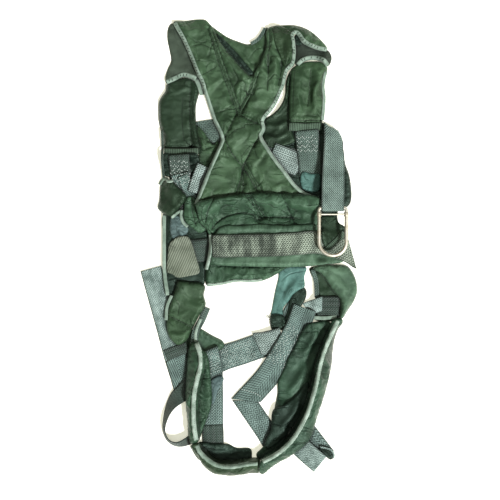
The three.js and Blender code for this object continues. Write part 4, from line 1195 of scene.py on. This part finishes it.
def legs():
    """The webs that cross between the legs, and the left hip pad."""
    strap("leg_cross_web", "-86,-234 -52,-217 -18,-206 20,-193 52,-184", "web_pale", 49, seed=63)
    w_stitch("leg_cross_stitching", (-46, -236), (62, 19), (-12, 38), 6, 14)
    strap("leg_keeper", "16,-189 40,-186 66,-178", "twill", 45, thick=3, seed=64, cut=(14, 0))
    strap("leg_lower_web", "-8,-299 17,-336 32,-358 48,-384", "web_pale", 41, seed=65, cut=(-29, 0))
    strap("leg_diagonal_web", "108,-118 97,-150 84,-176 62,-213 35,-253 -6,-299", "webbing", 47, seed=66,
        cut=(0, 34), thick=2.6)
    w_stitch("leg_diagonal_stitching", (78, -148), (-46, -70), (36, -22), 5, 14)
    stitch("leg_fold_stitching", [spline([(-20, -276), (10, -284), (26, -293)], 2.0) * MM], "thread", radius=0.6)
    cloth("leg_junction_left", "-108,-158 -96,-158 -72,-172 -48,-185 -49,-197 -70,-208 -92,-214 -106,-200",
        "cover_mint", 3.4, seed=67, crumple=(2.0, 18), crisp=True, folds=[("-96,-164 -76,-178 -54,-190", 3.0,
        4), ("-100,-200 -78,-204 -52,-188", 3.0, 3)])
    strap("leg_junction_cuff", "-92,-236 -74,-226 -56,-218", "webbing", 52, seed=68, thick=2.6, cut=(0, -12))
    w_stitch("leg_junction_stitching", (-82, -206), (24, 4), (4, -42), 6, 5)
    strap("hip_strap_left", "-82,-118 -92,-142 -104,-166 -107,-190", "web_mid", 14, seed=69)
    tape("hip_tape_left", "-94,-140 -101,-157 -104,-172 -104,-188", "tape_light", width=6, seed=98)
    pad("hip_cup_left", "-138,-66 -112,-68 -93,-70 -85,-77 -88,-94 -84,-112 -98,-136 -110,-160 -122,-182 "
        "-138,-191 -154,-178 -161,-155 -159,-128 -151,-102 -143,-80", "cover_smooth", 9, blow=(1.5, 0.02, 4),
        seed=70, crumple=(0.6, 30), reach=10, round_off=9, seams=["-161,-132 -138,-142 -108,-158"],
        folds=[("-136,-74 -122,-104 -96,-120", 2.4, 8), ("-152,-166 -138,-172 -122,-168", 2.4, 5),
        ("-146,-96 -136,-112 -138,-134", -2.0, 5)], fill=0.6)
    strap("hip_edge_left", "-150,-94 -159,-116 -161,-142", "tape", 6, thick=1.2, seed=71)


def saddle():
    """The padded roll of the saddle, a U from hip to hip, with its lining inside it."""
    cloth("saddle_lining_bottom", "-98,-380 -70,-382 -42,-383 -25,-391 3,-393 6,-406 2,-422 -40,-426 -70,-420 "
        "-92,-400", "dark", 4, seed=72, crumple=(2.0, 20))
    cloth("saddle_lining_right", "118,-148 160,-148 150,-176 138,-206 130,-240 124,-270 112,-306 98,-340 "
        "78,-372 50,-396 20,-416 14,-404 26,-390 41,-366 47,-338 50,-312 55,-286 56,-262 62,-250 70,-232 "
        "78,-212 90,-190 100,-168", "cover_shade", 4, seed=73, crumple=(2.4, 32), reach=10,
        folds=[("134,-160 122,-186 104,-212", 6, 7), ("112,-226 98,-256 74,-286", 6, 8),
        ("130,-206 116,-244 106,-276", 5, 6), ("66,-296 60,-330 56,-366", 5, 8), ("100,-290 88,-318 78,-342", 4,
        6)])
    # painted shadow: a dark sheet where the roll's shadow falls on the lining
    cloth("saddle_hollow_right", "47,-316 69,-306 93,-287 114,-262 116,-290 104,-322 84,-354 58,-380 36,-392 "
        "30,-384 42,-354", "dark", 2, seed=88, crumple=(1.6, 24), folds=[("96,-296 84,-322 60,-352", 4, 6)])
    cloth("saddle_lining_left", "-98,-200 -84,-203 -77,-225 -74,-255 -72,-300 -79,-328 -88,-350 -98,-378 "
        "-104,-350 -104,-300 -100,-250", "cover_blue", 5, seed=74, crumple=(2.2, 18),
        folds=[("-96,-222 -86,-234 -76,-240", 3.4, 4), ("-98,-250 -86,-262 -75,-268", 3.6, 4),
        ("-101,-280 -88,-292 -75,-296", 3.6, 4), ("-102,-308 -92,-320 -78,-324", 3.2, 4)])
    left = ("-102,-186 -95,-202 -93,-225 -100,-255 -105,-280 -107,-310 -106,-340 -102,-372")
    bottom = ("-101,-380 -94,-394 -80,-408 -60,-420 -45,-423 -25,-422 -5,-418 18,-417")
    right = ("172,-142 160,-166 145,-200 136,-230 130,-260 122,-290 112,-320 98,-348 82,-372 65,-389 46,-403 "
        "26,-414")
    pad("saddle_roll_left", "-108,-184 -116,-194 -120,-215 -122,-250 -123,-300 -120,-340 -117,-370 -110,-384 "
        "-98,-378 -96,-340 -97,-310 -95,-280 -90,-255 -84,-225 -88,-202 -98,-186", "cover_blue", 8,
        blow=(2.0, 0.06, 5), seed=75, crumple=(0.8, 22), ridge=(left, [18, 26, 31, 33, 33, 33, 32]), fill=0.6)
    pad("saddle_roll_bottom", "-113,-384 -110,-396 -100,-410 -86,-426 -70,-438 -56,-442 -34,-444 -14,-444 "
        "4,-441 20,-440 21,-412 -4,-410 -25,-413 -46,-414 -60,-411 -76,-400 -88,-388 -98,-377", "cover_brown",
        8, blow=(2.0, 0.08, 5), seed=76, crumple=(1.2, 20), ridge=(bottom, [32, 32, 31, 30, 28]), fill=0.6)
    pad("saddle_roll_right", "164,-140 180,-139 182,-148 174,-160 167,-180 163,-205 161,-230 156,-255 147,-290 "
        "137,-320 127,-350 119,-370 106,-386 90,-399 70,-413 46,-427 28,-440 20,-436 20,-416 38,-400 58,-384 "
        "74,-366 90,-342 104,-314 114,-286 122,-256 128,-228 137,-198 152,-164", "cover_shade", 8,
        blow=(2.0, 0.07, 5), seed=77, crumple=(1.0, 24), ridge=(right, [16, 26, 33, 35, 35, 35, 34, 32, 28]),
        fill=0.6)
    tape("binding_saddle_left", left, "tape_light", width=9.5, seed=78)
    # painted shade: the bottom binding gets the darker tape because it lies partly in shade
    tape("binding_saddle_bottom", bottom, "tape", width=8.5, seed=79)
    tape("binding_saddle_right", right, "tape_light", width=8.5, seed=80)


def ring():
    """The strap over the right riser, the steel ring in its loop and the bar that slides on it."""
    cloth("ring_backing_low", "140,60 166,60 172,50 182,40 182,27 168,14 152,-5 142,8 139,34", "cover_deep",
        1.6, seed=95, crumple=(1.2, 18), reach=5, crisp=True)
    strap("ring_backing_strap", "149,-7 160,3 172,14 186,28", "knit", 10.5, seed=56, thick=1.4, reach=4)
    low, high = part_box("ring_frame")
    x = (low.x + high.x) / 2
    z = (low.z + high.z) / 2
    wire = (high.z - low.z) / 2
    half = (high.x - low.x) / 2 - wire
    bar_y = high.y - wire
    arc_y = low.y + wire + half
    bar, zb = bar_y / MM, z / MM
    r = wire / MM + 1.6
    profile = [(172, 5), (200, 5.5), (220, 7)]
    profile += [(224 + 7 * math.cos(a), 14 + 7 * math.sin(a)) for a in np.radians((-50, 0, 50))]
    profile += [(218, 21.5), (190, 21), (160, 23), (128, 28), (104, zb + r - 1.5), (bar + 8, zb + r)]
    profile += [(bar + r * math.cos(a), zb + r * math.sin(a)) for a in np.radians((90, 130, 180, 230, 265))]
    profile += [(bar + 9, zb - r + 0.4), (bar + 24, zb - r - 0.6)]
    folded_band("ring_strap", profile, "riser", RISER_EDGES)
    corner = 0.0045

    def arc(cx, cy, radius, start, end, n):
        a = np.radians(np.linspace(start, end, n))
        return [(x + cx + radius * math.cos(t), cy + radius * math.sin(t), z) for t in a]

    points = arc(half - corner, bar_y - corner, corner, 90, 0, 8)
    points += [(x + half, y, z) for y in np.linspace(bar_y - corner - 0.004, arc_y + 0.004, 10)]
    points += arc(0, arc_y, half, 0, -180, 40)
    points += [(x - half, y, z) for y in np.linspace(arc_y + 0.004, bar_y - corner - 0.004, 10)]
    points += arc(corner - half, bar_y - corner, corner, 180, 90, 8)
    points += [(x + s * (half - corner), bar_y, z) for s in np.linspace(-0.9, 0.9, 9)]
    tube("ring_frame", points, wire, "steel", "ring", closed=True, sides=24)
    low_bar, high_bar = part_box("friction_bar")
    y = (low_bar.y + high_bar.y) / 2
    reach = half - wire * 0.4
    xs = np.linspace(-reach, reach, 15)
    tube("friction_bar", [(x + s, y, z + 0.0004) for s in xs], 0.0018, "steel", "ring_bar", sides=14)
    for side, name in ((-1, "left"), (1, "right")):
        ys = np.linspace(low_bar.y, high_bar.y, 9)
        bulge = wire + 0.0009 + 0.0003 * np.sin(np.linspace(0, math.pi, 9))
        tube(f"friction_bar_eye_{name}", [(x + side * half, t, z) for t in ys], bulge, "steel", "ring_bar")


def paint_recess_shade():
    """Gives each piece's vertices a value from 0 to 1 for how deep they lie below what is round them, which their
    materials paint as shade.
    """
    near = spread_mean(ground.z, int(RECESS_NEAR / CELL))
    far = spread_mean(ground.z, int(RECESS_FAR / CELL))
    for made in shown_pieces():
        if made.type != "MESH" or "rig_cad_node" in made:
            continue
        co = np.empty(len(made.data.vertices) * 3)
        made.data.vertices.foreach_get("co", co)
        co = co.reshape(-1, 3)
        below_near = (ground.read(near, co[:, :2]) - co[:, 2]) / RECESS_NEAR_DEPTH
        below_far = (ground.read(far, co[:, :2]) - co[:, 2]) / RECESS_FAR_DEPTH
        keep_values(made, "recess", np.clip(np.maximum(below_near, 0) + np.maximum(below_far, 0), 0, 1))


def studio():
    """A pale floor, a soft key light from the lower right and an even white surround."""
    scene = bpy.context.scene
    scene.view_settings.view_transform = "Standard"
    mesh = bpy.data.meshes.new("floor")
    corners = [(x * FLOOR_HALF, y * FLOOR_HALF, 0) for x, y in ((-1, -1), (1, -1), (1, 1), (-1, 1))]
    mesh.from_pydata(corners, [], [(0, 1, 2, 3)])
    floor = bpy.data.objects.new("floor", mesh)
    scene.collection.objects.link(floor)
    paper = Shader("paper", 0.9)
    paper.give(
        paper.bsdf, Base_Color=(0.93, 0.93, 0.9, 1), Emission_Color=(0.97, 0.97, 0.76, 1),
        Emission_Strength=0.5,
    )
    mesh.materials.append(paper.material)
    floor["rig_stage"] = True
    world = bpy.data.worlds.new("surround")
    world.use_nodes = True
    background = world.node_tree.nodes["Background"]
    background.inputs["Color"].default_value = (1.0, 0.95, 0.78, 1)
    background.inputs["Strength"].default_value = 0.27
    scene.world = world
    for name, place, strength, softness in SUNS:
        light = bpy.data.lights.new(name, "SUN")
        light.energy = strength
        light.angle = math.radians(softness)
        lamp = bpy.data.objects.new(name, light)
        lamp.location = place
        lamp.rotation_euler = (-Vector(place)).to_track_quat("-Z", "Y").to_euler()
        scene.collection.objects.link(lamp)
    camera = bpy.data.cameras.new("camera")
    camera.sensor_width = 36
    camera.lens = camera.sensor_width * CAMERA_HEIGHT / CAMERA_SEES
    eye = bpy.data.objects.new("camera", camera)
    eye.location = (0.002, -0.006, CAMERA_HEIGHT)
    scene.collection.objects.link(eye)
    scene.camera = eye


studio()
for part in (tails, lap, front, webs, left_side, right_side, legs, back, waist, saddle, ring):
    part()
paint_recess_shade()
